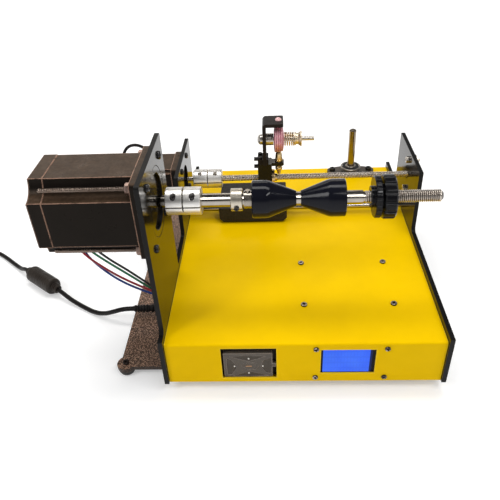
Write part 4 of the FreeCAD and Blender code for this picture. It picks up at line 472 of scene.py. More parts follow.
# painted shade: the keypad backing is near-black, for the shade in the opening above the pad
KEYPAD_BACK_SHADE = pad_plastic("keypad_back_shade", (0.012, 0.010, 0.008), (0.006, 0.005, 0.004), (0.022, 0.018, 0.015), 0.2)
MARK_ORANGE = painted("mark_orange", (0.46, 0.25, 0.12), (0.36, 0.19, 0.09), 0.42, 0.4, 1500, 0.01, edge=0.1)
CLAMP_BLACK = painted("clamp_black", (0.0065, 0.0065, 0.008), (0.0035, 0.0035, 0.0045), 0.12, 0.16, 900, 0.006,
                      edge_colour=(0.03, 0.03, 0.032), edge=0.8)
NUT_COPPER = metal("nut_copper", (0.62, 0.44, 0.38), (0.40, 0.27, 0.22), 0.26, edge=0.3, spots=0.4)
ROD_BROWN = metal("rod_brown", (0.26, 0.205, 0.17), (0.14, 0.105, 0.085), 0.30, edge=0.15, spots=0.5)
SEAL_BLACK = painted("seal_black", (0.012, 0.012, 0.012), (0.008, 0.008, 0.008), 0.5, 0.4, 1400, 0.02, edge=0.2)
SPRING_BRASS = metal("spring_brass", (0.86, 0.76, 0.60), (0.60, 0.48, 0.33), 0.34, edge=0.25)
BRACKET_BLACK = painted("bracket_black", (0.014, 0.009, 0.008), (0.007, 0.005, 0.0045), 0.42, 0.14, 1200, 0.01,
                        edge_colour=(0.07, 0.055, 0.048), edge=0.3)
HUB_STEEL = metal("hub_steel", (0.36, 0.325, 0.285), (0.24, 0.215, 0.185), 0.24, turned=0.006, edge=0.4, spots=0.2)
COLLAR_METAL = metal("collar_metal", (0.60, 0.55, 0.46), (0.46, 0.41, 0.33), 0.30, turned=0.006, edge=0.4)
POST_STEEL = metal("post_steel", (0.36, 0.305, 0.235), (0.25, 0.205, 0.155), 0.17, turned=0.004, spots=0.3)


def bolts_by_place():
    """Bearing bolts: bright zinc on the right plate, oiled black on the deck."""
    f = Finish("bearing_bolt_steel", Specular_IOR_Level=0.3)
    f.rounded(0.3)
    bright = f.span(f.layout(0), 138.0, 140.0)
    f.colour(f.mix(bright, (0.010, 0.009, 0.008), f.mix(f.patches(260, 4, 0.6, 0.35, 0.65), (0.30, 0.27, 0.23),
                                                       (0.58, 0.54, 0.49))))
    f.put(f.shader.inputs["Metallic"], f.maths("MULTIPLY", bright, 0.97))
    f.rough(f.patches(300, 3, 0.6, 0.3, 0.7, 0.20, 0.34))
    f.bump(f.noise(900, 3, 0.6), 0.008, 0.5)
    return f.material


def thread_finish(name, y, z, crest, root, base, groove):
    """Cut thread: bright crests, and grooves painted dark as their shade."""
    f = Finish(name, Metallic=0.85, Specular_IOR_Level=0.4)
    f.rounded(0.12)
    radius = f.from_axis(y, z)
    patches = f.patches(60, 5, 0.65, 0.3, 0.7)
    bright = f.mix(patches, tuple(0.72 * c for c in base), base)
    # painted shade: the colour darkens from the crests down into the grooves
    f.colour(f.mix(f.span(radius, root, crest), groove, bright))
    f.rough(f.patches(220, 4, 0.6, 0.3, 0.7, 0.18, 0.36))
    f.bump(f.noise(700, 3, 0.6), 0.01, 0.4)
    return f.material


THREAD_STEEL = thread_finish("thread_steel", SCREW_Y, SCREW_Z, 3.85, 3.35, (0.84, 0.77, 0.69),
                             (0.28, 0.235, 0.195))
STUD_STEEL = thread_finish("stud_steel", SCREW_Y, STUD_Z, 2.7, 2.3, (0.62, 0.58, 0.53), (0.10, 0.078, 0.055))
SPINDLE_THREAD = thread_finish("spindle_thread_steel", SPINDLE_Y, SPINDLE_Z, 6.0, 5.5, (0.62, 0.56, 0.50),
                               (0.095, 0.076, 0.062))


# ---- building pieces
def free_piece(name, points, faces, finish, slot):
    """Smooth mesh of layout points, which rides on no body yet."""
    mesh = bpy.data.meshes.new(name)
    mesh.from_pydata([tuple(p) for p in points], [], faces)
    mesh.update()
    for polygon in mesh.polygons:
        polygon.use_smooth = True
    mesh.materials.append(finish)
    piece = placed(name, mesh)
    return piece


def mesh_piece(name, points, faces, finish, body, slot):
    piece = free_piece(name, points, faces, finish, slot)
    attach(piece, body)
    return piece


def strip(first, second, count):
    """Faces between two loops, each given by the number of its first point."""
    return [[first + i, first + (i + 1) % count, second + (i + 1) % count, second + i] for i in range(count)]


def fan(tip, first, count, ending=False):
    """Faces from a loop to a tip, at the start of a piece or at its end."""
    pairs = [(first + i, first + (i + 1) % count) for i in range(count)]
    return [[tip, a, b] if ending else [tip, b, a] for a, b in pairs]


def sharpen(piece, degrees=35):
    """Marks the sharp edges, so that smooth shading stays on the round faces only."""
    mesh = piece.data
    limit = math.cos(math.radians(degrees))
    faces_of = {}
    for polygon in mesh.polygons:
        for key in polygon.edge_keys:
            faces_of.setdefault(key, []).append(polygon.normal)
    for edge in mesh.edges:
        normals = faces_of.get(edge.key, ())
        edge.use_edge_sharp = len(normals) == 2 and normals[0].dot(normals[1]) < limit
    return piece


def bolt_set(name, profile, places, along, finish, body, slot, hexagonal=(), steps=24):
    """The same surface of revolution at several places, in one mesh.

    The profile lists (distance along the axis, radius) in mm, from axis to axis or as a closed
    loop. Its rings listed in hexagonal have six flats.
    """
    along = Vector(along).normalized()
    cross = Vector(Z_AXIS) if abs(along.z) < 0.5 else Vector(X_AXIS)
    u = cross.cross(along).normalized()
    v = along.cross(u)
    closed = profile[0][1] > NO_RADIUS
    points, faces = [], []
    for place in places:
        rings = []
        for number, (distance, radius) in enumerate(profile):
            middle = Vector(place) + along * distance
            if radius < NO_RADIUS:
                points.append(at(*middle))
                rings.append([len(points) - 1] * steps)
                continue
            start = len(points)
            for i in range(steps):
                turn, flat = 2 * math.pi * i / steps, 1.0
                if number in hexagonal:
                    flat = math.cos(math.pi / 6) / math.cos(turn % (math.pi / 3) - math.pi / 6)
                points.append(at(*(middle + (u * math.cos(turn) + v * math.sin(turn)) * radius * flat)))
            rings.append(list(range(start, start + steps)))
        for a, b in zip(rings, rings[1:] + rings[:1] if closed else rings[1:]):
            for i in range(steps):
                j = (i + 1) % steps
                faces.append(list(dict.fromkeys([a[i], a[j], b[j], b[i]])))
    return sharpen(mesh_piece(name, points, faces, finish, body, slot))


def turned(name, profile, centre, along, finish, body, slot, steps=72):
    """One surface of revolution."""
    return bolt_set(name, profile, [centre], along, finish, body, slot, steps=steps)


def skinned(name, rings, finish, body, slot, limit=35):
    """Closed skin over loops of equal length, with a fan at each end."""
    count, points, faces = len(rings[0]), [], []
    for ring in rings:
        points += [at(*p) for p in ring]
    for ring in (rings[0], rings[-1]):
        points.append(at(*(sum((Vector(p) for p in ring), Vector()) / count)))
    for k in range(len(rings) - 1):
        faces += strip(k * count, (k + 1) * count, count)
    faces += fan(len(points) - 2, 0, count)
    faces += fan(len(points) - 1, (len(rings) - 1) * count, count, True)
    return sharpen(mesh_piece(name, points, faces, finish, body, slot), limit)


def threaded(name, stretches, y, z, finish, body, slot, steps=40):
    """Rod along X of plain and threaded stretches.

    Each stretch is (x start, x end, radius at the start, radius at the end, thread depth, pitch,
    starts); a plain one has no depth.
    """
    rows = []
    for x0, x1, r0, r1, depth, pitch, starts in stretches:
        count = max(1, round((x1 - x0) / (pitch / 8))) if depth else 1
        for k in range(count + 1):
            share = k / count
            rows.append((x0 + (x1 - x0) * share, r0 + (r1 - r0) * share, depth, pitch, starts,
                         min(1.0, (x1 - x0) * min(share, 1 - share) / pitch) if depth else 0.0))
    points, faces = [at(rows[0][0], y, z)], []
    for x, radius, depth, pitch, starts, fade in rows:
        for i in range(steps):
            turn = 2 * math.pi * i / steps
            wave = ((x / pitch) - starts * i / steps) % 1.0
            groove = clamped(1.35 - abs(wave - 0.5) * 3.4) if depth else 0.0
            r = radius - depth * fade * groove
            points.append(at(x, y + r * math.cos(turn), z + r * math.sin(turn)))
    points.append(at(rows[-1][0], y, z))
    for k in range(len(rows) - 1):
        faces += strip(1 + k * steps, 1 + (k + 1) * steps, steps)
    faces += fan(0, 1, steps) + fan(len(points) - 1, 1 + (len(rows) - 1) * steps, steps, True)
    return sharpen(mesh_piece(name, points, faces, finish, body, slot), 50)


def line(name, route, radius, finish, body, slot):
    """Cord as one NURBS spline with the route's points as its control points."""
    curve = bpy.data.curves.new(name, "CURVE")
    curve.dimensions = "3D"
    spline = curve.splines.new("NURBS")
    spline.points.add(len(route) - 1)
    for point, place in zip(spline.points, route):
        point.co = (*at(*place), 1.0)
    spline.order_u = 3
    spline.use_endpoint_u = True
    spline.resolution_u = 8
    curve.bevel_depth = radius * MM
    curve.bevel_resolution = 5
    curve.use_fill_caps = True
    curve.materials.append(finish)
    piece = placed(name, curve)
    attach(piece, body)
    return piece


# ---- cords
CORD = FINISHES["cord_black"], "machine", "cord_black"     # finish, body and slot
LEAD_R = 3.0
LEAD_Z = GROUND + LEAD_R + 0.1
PLUG_FACE = -OUTER - 2.3          # where the plug meets its socket
PLUG_TAIL = PLUG_FACE - 54.0
JACK_Y, JACK_Z = 112.0, 9.5
FERRITE_START = Vector((-324.0, 166.0, GROUND + 11.6))
FERRITE_WAY = Vector((-0.79, 0.613, 0)).normalized()
FERRITE_LENGTH = 70.0
FERRITE_END = FERRITE_START + FERRITE_WAY * FERRITE_LENGTH
COIL = Vector((-530.0, 325.0, 0))
COIL_POINTS = 16          # control points in each turn
COIL_DRAW = 0.981         # how far the spline draws in from its control points
COIL_RADII = [39.0, 33.0, 27.0, 27.0, 33.0, 39.0]
COIL_LAYER = 6.1          # height of the second layer over the first
COIL_FIRST = -71.0        # degrees at which the lead enters


def coil_route():
    """Over five turns, clockwise from above: three on the bench, then the rest on top of them."""
    route = []
    for k in range(2, 85):
        turn, part = divmod(k / COIL_POINTS, 1.0)
        turn = int(turn)
        here, after = COIL_RADII[turn], COIL_RADII[min(turn + 1, 5)]
        step = clamped((part - 0.75) / 0.25)
        radius = (here + (after - here) * step) / COIL_DRAW
        level = COIL_LAYER * clamped((k / COIL_POINTS - 2.7) / 0.3)
        angle = math.radians(COIL_FIRST - 360.0 * k / COIL_POINTS)
        route.append((COIL.x + radius * math.cos(angle), COIL.y + radius * math.sin(angle), LEAD_Z + level))
    return route


LEAD_ROUTE = [
    (PLUG_TAIL + 12, JACK_Y, JACK_Z), (PLUG_TAIL, JACK_Y, JACK_Z), (PLUG_TAIL - 14, JACK_Y + 0.6, JACK_Z - 1.5),
    (PLUG_TAIL - 27, JACK_Y + 3.5, JACK_Z - 8), (PLUG_TAIL - 41, JACK_Y + 8.5, LEAD_Z + 4.5),
    (PLUG_TAIL - 57, JACK_Y + 16, LEAD_Z), (PLUG_TAIL - 75, JACK_Y + 27, LEAD_Z + 0.4), (-302.0, 150.0, LEAD_Z + 3.0),
    (-314.0, 158.5, GROUND + 9.5), tuple(FERRITE_START), tuple(FERRITE_END),
    tuple(FERRITE_END + FERRITE_WAY * 11 + Vector((0, 0, -2))),
    tuple(FERRITE_END + FERRITE_WAY * 23 + Vector((0, 0, -7))),
    tuple(FERRITE_END + FERRITE_WAY * 37 + Vector((-1, 2, LEAD_Z - FERRITE_END.z + 0.6))),
    (-442.0, 262.0, LEAD_Z), (-462.0, 271.5, LEAD_Z + 0.3), (-481.5, 278.4, LEAD_Z), (-499.5, 282.6, LEAD_Z + 0.2),
    (-519.0, 285.4, LEAD_Z)]
LEAD_ROUTE += coil_route()
CONNECTOR_START = (-569.0, 338.0, LEAD_Z + COIL_LAYER)
LEAD_ROUTE += [CONNECTOR_START, (CONNECTOR_START[0], CONNECTOR_START[1] + 12, CONNECTOR_START[2] - 0.9)]
lead = line("mains_side_lead", LEAD_ROUTE, LEAD_R, *CORD)
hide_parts("power_lead", "lead_coil")

FERRITE_PROFILE = [(0, 3.1), (0, 4.9), (0.6, 5.3)]
for rib in (0.6, 3.4, 6.2):
    FERRITE_PROFILE += [(rib + 0.2, 5.7 + rib * 0.20), (rib + 1.6, 5.9 + rib * 0.20), (rib + 1.8, 4.3 + rib * 0.1),
                        (rib + 2.6, 4.4 + rib * 0.1)]
FERRITE_PROFILE += [(9.0, 7.2), (9.5, 9.4), (10.2, 10.7), (11.4, 11.35), (13.0, 11.5)]
for rib in range(5):
    FERRITE_PROFILE += [(15.0 + 4.0 * rib, 11.5), (15.4 + 4.0 * rib, 11.1), (16.2 + 4.0 * rib, 11.1),
                        (16.6 + 4.0 * rib, 11.5)]
FERRITE_PROFILE += [(FERRITE_LENGTH - a, r) for a, r in reversed(FERRITE_PROFILE)]
FERRITE_BROWN = painted("ferrite_brown", (0.034, 0.026, 0.020), (0.020, 0.015, 0.012), 0.42, 0.25, 900, 0.03,
                        edge=0.5, edge_colour=(0.09, 0.07, 0.055))
ferrite = turned("lead_ferrite_bead", FERRITE_PROFILE, FERRITE_START, FERRITE_WAY, FERRITE_BROWN, "machine",
                 "cord_black", 56)
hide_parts("lead_ferrite")

PLUG_PROFILE = [(9.5, 0), (9.5, 2.75), (0, 2.75), (0, 5.0), (-0.5, 5.4), (-9, 5.4), (-9.6, 5.0), (-10.4, 5.0)]
for rib in range(5):
    start = -11.0 - 4.2 * rib
    PLUG_PROFILE += [(start, 5.4 - 0.03 * rib), (start - 2.2, 5.35 - 0.03 * rib), (start - 2.5, 4.3 - 0.10 * rib),
                     (start - 3.9, 4.25 - 0.10 * rib)]
PLUG_PROFILE += [(-33.0, 4.6), (-34.0, 4.3)]
for rib in range(5):
    start = -35.2 - 3.6 * rib
    PLUG_PROFILE += [(start, 5.1 - 0.16 * rib), (start - 1.7, 5.0 - 0.16 * rib), (start - 1.9, 3.8 - 0.08 * rib),
                     (start - 3.2, 3.75 - 0.08 * rib)]
PLUG_PROFILE += [(-53.2, 3.3), (-54.0, 3.15), (-54.0, 0)]
plug = turned("lead_barrel_plug", PLUG_PROFILE, (PLUG_FACE, JACK_Y, JACK_Z), X_AXIS, *CORD, 48)
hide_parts("lead_plug")

connector = turned("lead_inline_connector", [
    (0, 0), (0, 3.2), (1, 3.9), (3, 4.0), (3.4, 3.6), (4.6, 3.6), (5, 4.2), (7, 4.3), (7.4, 3.8), (8.6, 3.9), (9, 4.5),
    (11, 4.6), (11.4, 4.1), (12.6, 4.2), (16, 4.6), (18, 5.6), (20, 5.9), (35, 6.0), (37, 5.6), (38, 5.2), (47.4, 5.0),
    (48, 4.6), (48, 3.0), (42, 2.9), (42, 0)], CONNECTOR_START, (0, 1, -0.06), *CORD, 48)
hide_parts("lead_connector")


def coil_tie(name, degrees):
    """Flat tie round all the turns of the coil."""
    angle = math.radians(degrees)
    out = Vector((math.cos(angle), math.sin(angle), 0))
    along = Vector((-out.y, out.x, 0))
    middle = COIL + out * 33.0 + Vector((0, 0, LEAD_Z + 3.05))
    outline = []
    for i in range(40):
        turn = 2 * math.pi * i / 40
        c, n = math.cos(turn), math.sin(turn)
        outline.append((9.3 * math.copysign(abs(c) ** 0.55, c), 6.2 * math.copysign(abs(n) ** 0.55, n)))
    points, faces = [], []
    for offset, grow in ((-4, 0), (4, 0), (4, 0.9), (-4, 0.9)):
        for a, b in outline:
            k = 1 + grow / 9
            points.append(at(*(middle + along * offset + out * (a * k) + Vector((0, 0, max(b * k, -6.1))))))
    for ring in range(4):
        faces += strip(ring * 40, (ring + 1) % 4 * 40, 40)
    return sharpen(mesh_piece(name, points, faces, *CORD))


ties = [coil_tie("coil_tie_near", -130), coil_tie("coil_tie_far", 35)]

WIRE_X, WIRE_Y, WIRE_Z = -256.0, 118.0, 169.0
WIRE_HOLE_Y, WIRE_HOLE_Z = 127, 13      # in the left plate
WIRE_R = 1.4
WIRE_LANES = {
    "red": (-3.0, [(-2, 8, -3), (-5, 13, -13), (-9, 13, -34), (-10, 9, -60), (-1, 7, -82), (19, 7, -103),
                   (43, 7, -123)], (-1.8, 1.6)),
    "green": (0.6, [(-1, 10, -3), (-5, 16, -13), (-10, 17, -33), (-11, 12.5, -57), (0.5, 11, -78), (21.5, 11, -98.5),
                    (45, 11, -119)], (1.8, -1.4)),
    "blue": (4.2, [(-1, 12, -4), (-6, 19, -15), (-12, 20, -38), (-13, 17, -62), (-9, 14, -86), (9, 12, -110.5),
                   (35, 11, -134)], (-1.6, -2.0)),
    "black": (7.6, [(-2, 13, -2), (-8, 22, -10), (-14, 23, -28), (-14.5, 18.5, -51), (-5, 14.5, -73), (15, 13, -94.5),
                    (38, 14, -115)], (1.9, 2.3)),
}
for colour, (lane, middle, (ey, ez)) in WIRE_LANES.items():
    x = WIRE_X + lane
    route = [(x, WIRE_Y - 4, WIRE_Z), (x, WIRE_Y, WIRE_Z)] + [(x + a, WIRE_Y + b, WIRE_Z + c) for a, b, c in middle]
    y, z = WIRE_HOLE_Y + ey, WIRE_HOLE_Z + ez
    route += [(-174.5, y + 1.0, z + 5.0), (-161.5, y, z + 0.5), (-INNER, y, z)]
    wire = line("motor_wire_" + colour, route, WIRE_R, FINISHES["wire_" + colour], "machine", "wire_sheath")
    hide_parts("motor_wires")

CABLE_X, CABLE_Y, CABLE_Z = -189.5, SCREW_Y, 141.5
CABLE_R = 2.0
CABLE_ROUTE = [(CABLE_X, CABLE_Y, CABLE_Z - 4), (CABLE_X, CABLE_Y, CABLE_Z)] + [
    (CABLE_X + a, CABLE_Y + b, CABLE_Z + c) for a, b, c in (
        (0, 0, 7.5), (-4, 0.6, 16), (-12, 1.5, 22), (-21.5, 2.5, 23.7), (-30.5, 3, 20.5), (-37, 2.5, 12),
        (-39.5, 1, -2.5), (-39, -3, -25.5), (-35.5, -10, -53.5), (-27, -20.5, -83.5), (-14.5, -32, -108.5))]
CABLE_ROUTE += [(-188, 214.5, 18), (-171, 211, 11.5), (-159.5, 210, 10), (-INNER, 210, 10)]
cable = line("traverse_motor_lead", CABLE_ROUTE, CABLE_R, *CORD)
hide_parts("traverse_motor_cable")


# ---- finishes of the CAD nodes
for node in frame["nodes"].values():
    for place in node.material_slots:
        slot_name = place.material.name.split(".")[0] if place.material else None
        if slot_name in FINISHES:
            place.material = FINISHES[slot_name]
NODE_FINISHES = {
    "traverse_coupling_screws": SCREW_ZINC, "clamp_disc": CLAMP_BLACK, "clamp_nut": CLAMP_BLACK,
    "tension_bracket": BRACKET_BLACK, "bearing_bolts": bolts_by_place(), "spool_post": POST_STEEL,
    "machine_screws": screws_by_place(), "tension_stud": STUD_STEEL, "thumb_nut": SPRING_BRASS,
    "drive_hub": HUB_STEEL, "stop_collar": COLLAR_METAL}
for name, finish in NODE_FINISHES.items():
    frame["nodes"][name].material_slots[0].material = finish

# ---- screws with real threads
shaft = threaded("spindle_shaft_threaded", [
    (-118.6, -118.1, 6.5, 7.0, 0, 1, 1), (-118.1, 60.0, 7.0, 7.0, 0, 1, 1), (60.0, 60.4, 7.0, 5.6, 0, 1, 1),
    (60.4, 62.0, 5.6, 5.6, 0, 1, 1), (62.0, 62.4, 5.6, 5.3, 0, 1, 1)], SPINDLE_Y, SPINDLE_Z, FINISHES["steel"],
    "spindle", "steel", 56)
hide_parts("spindle_shaft")
thread = threaded("spindle_thread_cut", [
    (61.6, 62.6, 5.2, 6.3, 0, 1, 1), (62.6, 136.6, 6.3, 6.3, 0.95, 2.0, 1), (136.6, 139.0, 6.0, 3.9, 0, 1, 1)],
    SPINDLE_Y, SPINDLE_Z, SPINDLE_THREAD, "spindle", "steel", 56)
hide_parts("spindle_shaft")
screw = threaded("lead_screw_threaded", [
    (-115.6, -112.0, 4.0, 4.0, 0, 1, 1), (-112.0, 162.2, 4.0, 4.0, 0.75, 2.0, 4), (162.2, 163.0, 3.9, 3.2, 0, 1, 1)],
    SCREW_Y, SCREW_Z, THREAD_STEEL, "traverse_screw", "steel", 24)
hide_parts("lead_screw")


# ---- fixings with low heads
def four_places(y, z, reach):
    """A motor's four screws, on the inner face of the left plate."""
    return [(-INNER, y + reach * a, z + reach * b) for a in (-1, 1) for b in (-1, 1)]


MOTOR_PLACES = four_places(SPINDLE_Y, SPINDLE_Z, MOTOR_BOLT_REACH)
motor_bolts = bolt_set("main_motor_button_bolts", [
    (0.9, 0), (0.9, 1.7), (2.7, 1.75), (2.8, 2.5), (2.45, 3.6), (1.6, 4.25), (0.5, 4.5), (0, 4.5), (0, 2.95),
    (-20.8, 2.95), (-21.2, 2.5), (-21.2, 0)], MOTOR_PLACES, X_AXIS, FINISHES["screw_black"],
    "machine", "screw_black", (1, 2))
motor_nuts = bolt_set("main_motor_nuts", [
    (-15.0, 0), (-15.0, 5.9), (-19.5, 5.9), (-20.0, 5.2), (-20.0, 0)],
    MOTOR_PLACES, X_AXIS, NUT_COPPER, "machine", "screw_black", (1, 2))
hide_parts("main_motor_bolts")
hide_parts("main_motor_bolts")
traverse_bolts = bolt_set("traverse_motor_button_bolts", [
    (0.8, 0), (0.8, 1.5), (2.2, 1.55), (2.3, 2.2), (2.0, 3.2), (1.3, 3.8), (0.4, 4.0), (0, 4.0), (0, 2.35),
    (-11.6, 2.35), (-12.0, 2.0), (-12.0, 0)],
    four_places(SCREW_Y, SCREW_Z, STEP_BOLT_REACH), X_AXIS, FINISHES["screw_black"], "machine", "screw_black", (1, 2))
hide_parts("traverse_motor_screws")
for number, (x, y, z) in enumerate(MOTOR_PLACES, 1):
    threaded(f"main_motor_stack_rod_{number}", [
        (-251.0, -249.8, 2.0, 2.6, 0, 1, 1), (-249.8, -167.4, 2.6, 2.6, 0.55, 1.6, 1)], y, z, ROD_BROWN,
        "machine", "screw_black", 20)
turned("main_motor_pilot_step", [
    (0, 29.0), (2.4, 29.0), (2.8, 29.4), (2.8, 35.9), (2.4, PILOT_RADIUS), (0, PILOT_RADIUS)],
    (-150.45, SPINDLE_Y, SPINDLE_Z), X_AXIS, FINISHES["plate_black"], "machine", "plate_black", 96)

# ---- wire guide with its ball
nozzle = turned("wire_guide_nozzle", [
    (119.7, 1.2), (119.7, 1.9), (120.1, 2.2), (123.6, 2.5), (124.6, 3.1), (125.6, 3.95), (126.9, 4.6), (128.2, 4.85),
    (129.6, 4.6), (130.8, 3.9), (131.5, 3.3), (132.0, 3.3), (132.3, 4.2), (133.6, 4.3), (133.6, 3.0), (138.0, 3.0),
    (138.0, 4.9), (138.4, 5.0), (140.6, 5.0), (141.0, 4.7), (141.6, 4.75), (147.2, 4.25), (149.6, 3.8), (151.2, 3.0),
    (152.4, 2.3), (152.2, 1.7), (151.4, 1.3)], (-22.0, SCREW_Y, 0.0), Z_AXIS, FINISHES["brass"],
    "carriage", "brass", 56)
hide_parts("wire_nozzle")


# ---- spring of the tensioner
def spring_wire(start, length, radius, wire, turns, steps=56, sides=14):
    """Round wire wound about X with a flat half turn at each end, as (points, faces)."""
    points, faces = [], []
    count = round(turns * steps)
    for k in range(count + 1):
        wound = k / steps
        x = start + wire + (length - 2 * wire) * clamped((wound - 0.5) / (turns - 1.0))
        turn = 2 * math.pi * wound
        taper = min(1.0, 0.55 + 3.0 * min(wound, turns - wound))
        for i in range(sides):
            around = 2 * math.pi * i / sides
            r = radius + wire * taper * math.cos(around)
            points.append(at(x + wire * taper * math.sin(around), SCREW_Y + r * math.cos(turn),
                             STUD_Z + r * math.sin(turn)))
    for k in range(count):
        faces += strip(k * sides, (k + 1) * sides, sides)
    faces.append(list(reversed(range(sides))))
    faces.append([count * sides + i for i in range(sides)])
    return points, faces


SPRING_START, SPRING_LENGTH = -14.8, 13.0
spring = sharpen(free_piece("tension_spring_wire", *spring_wire(SPRING_START, SPRING_LENGTH, 8.2, 0.82, 5.0),
                            SPRING_BRASS, "brass"))
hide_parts("tension_spring")
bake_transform(spring)

# ---- spool bearing
for name, profile, foot, finish, body, slot, steps in (
        ("post_bearing_seal", [(0, 8.3), (0.55, 8.5), (0.75, 9.4), (0.75, 11.6), (0.5, 12.4), (0, 12.6)],
         BEARING_TOP, SEAL_BLACK, "machine", "zinc_grey", 64),
        ("post_bearing_outer_ring", [(0, 12.8), (0.6, 12.9), (0.9, 13.5), (0.9, 14.4), (0.5, 15.0), (0, 15.2)],
         BEARING_TOP, SCREW_ZINC, "machine", "zinc_grey", 64),
        ("post_bearing_collar", [(0, 5.25), (1.9, 5.25), (2.3, 5.6), (2.3, 7.3), (1.8, 7.9), (0, 8.0)],
         COLLAR_FOOT, SCREW_ZINC, "post", "steel", 56)):
    turned(name, profile, (POST_X, POST_Y, foot), Z_AXIS, finish, body, slot, steps)

# ---- keypad
PAD_FRONT, PAD_BACK, PAD_CHAMFER = 1.6, 5.9, 0.45
KEY_GAP = 0.15
CORNER = 1.6            # most that a corner is rounded by
PAD_OUTLINE = [(-85.6, 6.2), (-34.2, 6.2), (-33.5, 6.9), (-33.5, 21.0), (-30.2, 21.0), (-29.7, 21.5), (-29.7, 26.4),
               (-30.2, 26.9), (-33.5, 26.9), (-33.5, 41.3), (-34.2, 42.0), (-85.6, 42.0), (-86.3, 41.3), (-86.3, 6.9)]
KEYS = {
    "up": ([(-79.7, 37.7), (-59.1, 30.2), (-40.3, 37.9), (-60.0, 38.6)], (-59.0, 33.7)),
    "down": ([(-77.2, 7.2), (-57.5, 6.9), (-37.8, 7.7), (-59.3, 14.9)], (-59.5, 11.6)),
    "left": ([(-82.5, 9.3), (-78.1, 10.1), (-72.5, 22.2), (-76.9, 31.2), (-82.2, 34.6), (-82.6, 22.0)], (-74.6, 22.4)),
    "right": ([(-35.3, 11.5), (-34.8, 23.0), (-35.1, 35.3), (-43.2, 31.5), (-46.1, 22.3), (-40.9, 12.8)],
              (-44.2, 22.4)),
}
CENTRE_KEY = [(-67.2, 22.9), (-60.0, 17.6), (-52.0, 17.8), (-48.6, 22.4), (-52.6, 27.6), (-63.4, 27.7)]


def softened(outline, grow, round_by=0.28, steps=5):
    """Outline with rounded corners, moved outward by grow from its middle."""
    middle = Vector((sum(p[0] for p in outline), sum(p[1] for p in outline))) / len(outline)
    ring = []
    for i, corner in enumerate(outline):
        here, before, after = Vector(corner), Vector(outline[i - 1]), Vector(outline[(i + 1) % len(outline)])
        a, b = (here.lerp(end, min(round_by, CORNER / (end - here).length)) for end in (before, after))
        for k in range(steps):
            share = k / (steps - 1)
            ring.append(a.lerp(here, share).lerp(here.lerp(b, share), share))
    return [p + (p - middle).normalized() * grow for p in ring]


def pad_block():
    """Face block of the keypad, with an opening for each key."""
    middle_x, middle_z = -59.9, 24.1
    inset = [(x - math.copysign(PAD_CHAMFER, x - middle_x), z - math.copysign(PAD_CHAMFER, z - middle_z))
             for x, z in PAD_OUTLINE]
    holes = [softened(outline, KEY_GAP) for outline in [*(key for key, dot in KEYS.values()), CENTRE_KEY]]
    loops = [inset] + [[tuple(p) for p in hole] for hole in holes]
    points, faces = [], []
    for y in (PAD_FRONT, PAD_BACK):
        for loop in loops:
            points += [at(x, y, z) for x, z in loop]
    total = sum(len(loop) for loop in loops)
    for triangle in tessellate_polygon([[Vector((x, z, 0)) for x, z in loop] for loop in loops]):
        faces.append(list(triangle))
        faces.append([total + i for i in reversed(triangle)])
    start = len(inset)
    for loop in loops[1:]:
        faces += strip(start, total + start, len(loop))
        start += len(loop)
    outer = len(points)
    for y in (PAD_FRONT + PAD_CHAMFER, PAD_BACK):
        points += [at(x, y, z) for x, z in PAD_OUTLINE]
    n = len(inset)
    faces += strip(0, outer, n) + strip(outer, outer + n, n) + strip(outer + n, total, n)
    return sharpen(mesh_piece("keypad_face", points, faces, FINISHES["pad_grey"], "machine", "pad_grey"), 25)


def rounded_box(low, high, radius, depth):
    """Loop of a rounded rectangle in X and Z at a depth."""
    ring = []
    for cx, cz, first in ((high[0] - radius, high[1] - radius, 0), (low[0] + radius, high[1] - radius, 90),
                          (low[0] + radius, low[1] + radius, 180), (high[0] - radius, low[1] + radius, 270)):
        for k in range(6):
            turn = math.radians(first + 18 * k)
            ring.append((cx + radius * math.cos(turn), depth, cz + radius * math.sin(turn)))
    return ring


pad = pad_block()
# its near-black finish paints the shade in the opening above the pad
backing = skinned("keypad_backing", [
    rounded_box((-90.2, 4.0), (-27.4, 52.6), 2.0, 7.9), rounded_box((-90.2, 4.0), (-27.4, 52.6), 2.0, 6.4),
    rounded_box((-89.6, 4.6), (-28.0, 52.0), 2.0, 5.95)], KEYPAD_BACK_SHADE, "machine", "pad_grey")
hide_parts("keypad_body")
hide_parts("keypad_body")


def key_cap(name, outline, body, finish, dish):
    """Key cap with a rounded rim and a dished face."""
    rings = []
    ring = softened(outline, -0.35)
    middle = sum(ring, Vector((0, 0))) / len(ring)
    for share, depth in ((1.0, 4.95), (1.0, 2.15), (0.985, 1.85), (0.95, 1.72), (0.90, 1.80), (0.7, 1.80 + 0.6 * dish),
                         (0.4, 1.80 + 0.95 * dish), (0.12, 1.80 + dish)):
        rings.append([(middle.x + (p.x - middle.x) * share, depth, middle.y + (p.y - middle.y) * share) for p in ring])
    return skinned(name, rings, finish, body, "key_dark", 50)


for side_name, (outline, dot) in KEYS.items():
    cap = key_cap("key_cap_" + side_name, outline, side_name + "_key", FINISHES["key_dark"], 0.45)
    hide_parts("key_" + side_name)
    bolt_set("key_dot_" + side_name, [(0, 0), (0, 0.95), (0.45, 0.95), (0.6, 0.75), (0.62, 0)],
             [(dot[0], 2.25, dot[1])], (0, -1, 0), DOT_WHITE, side_name + "_key", "pad_grey", steps=28)
cap = key_cap("key_cap_centre", CENTRE_KEY, "centre_key", FINISHES["pad_grey"], 0.1)
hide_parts("key_centre")
skinned("key_mark_centre", [rounded_box((-62.6, 21.8), (-56.0, 23.0), 0.5, 2.2),
                            rounded_box((-62.6, 21.8), (-56.0, 23.0), 0.5, 1.66),
                            rounded_box((-62.4, 22.0), (-56.2, 22.8), 0.4, 1.60)],
    MARK_ORANGE, "centre_key", "key_dark")


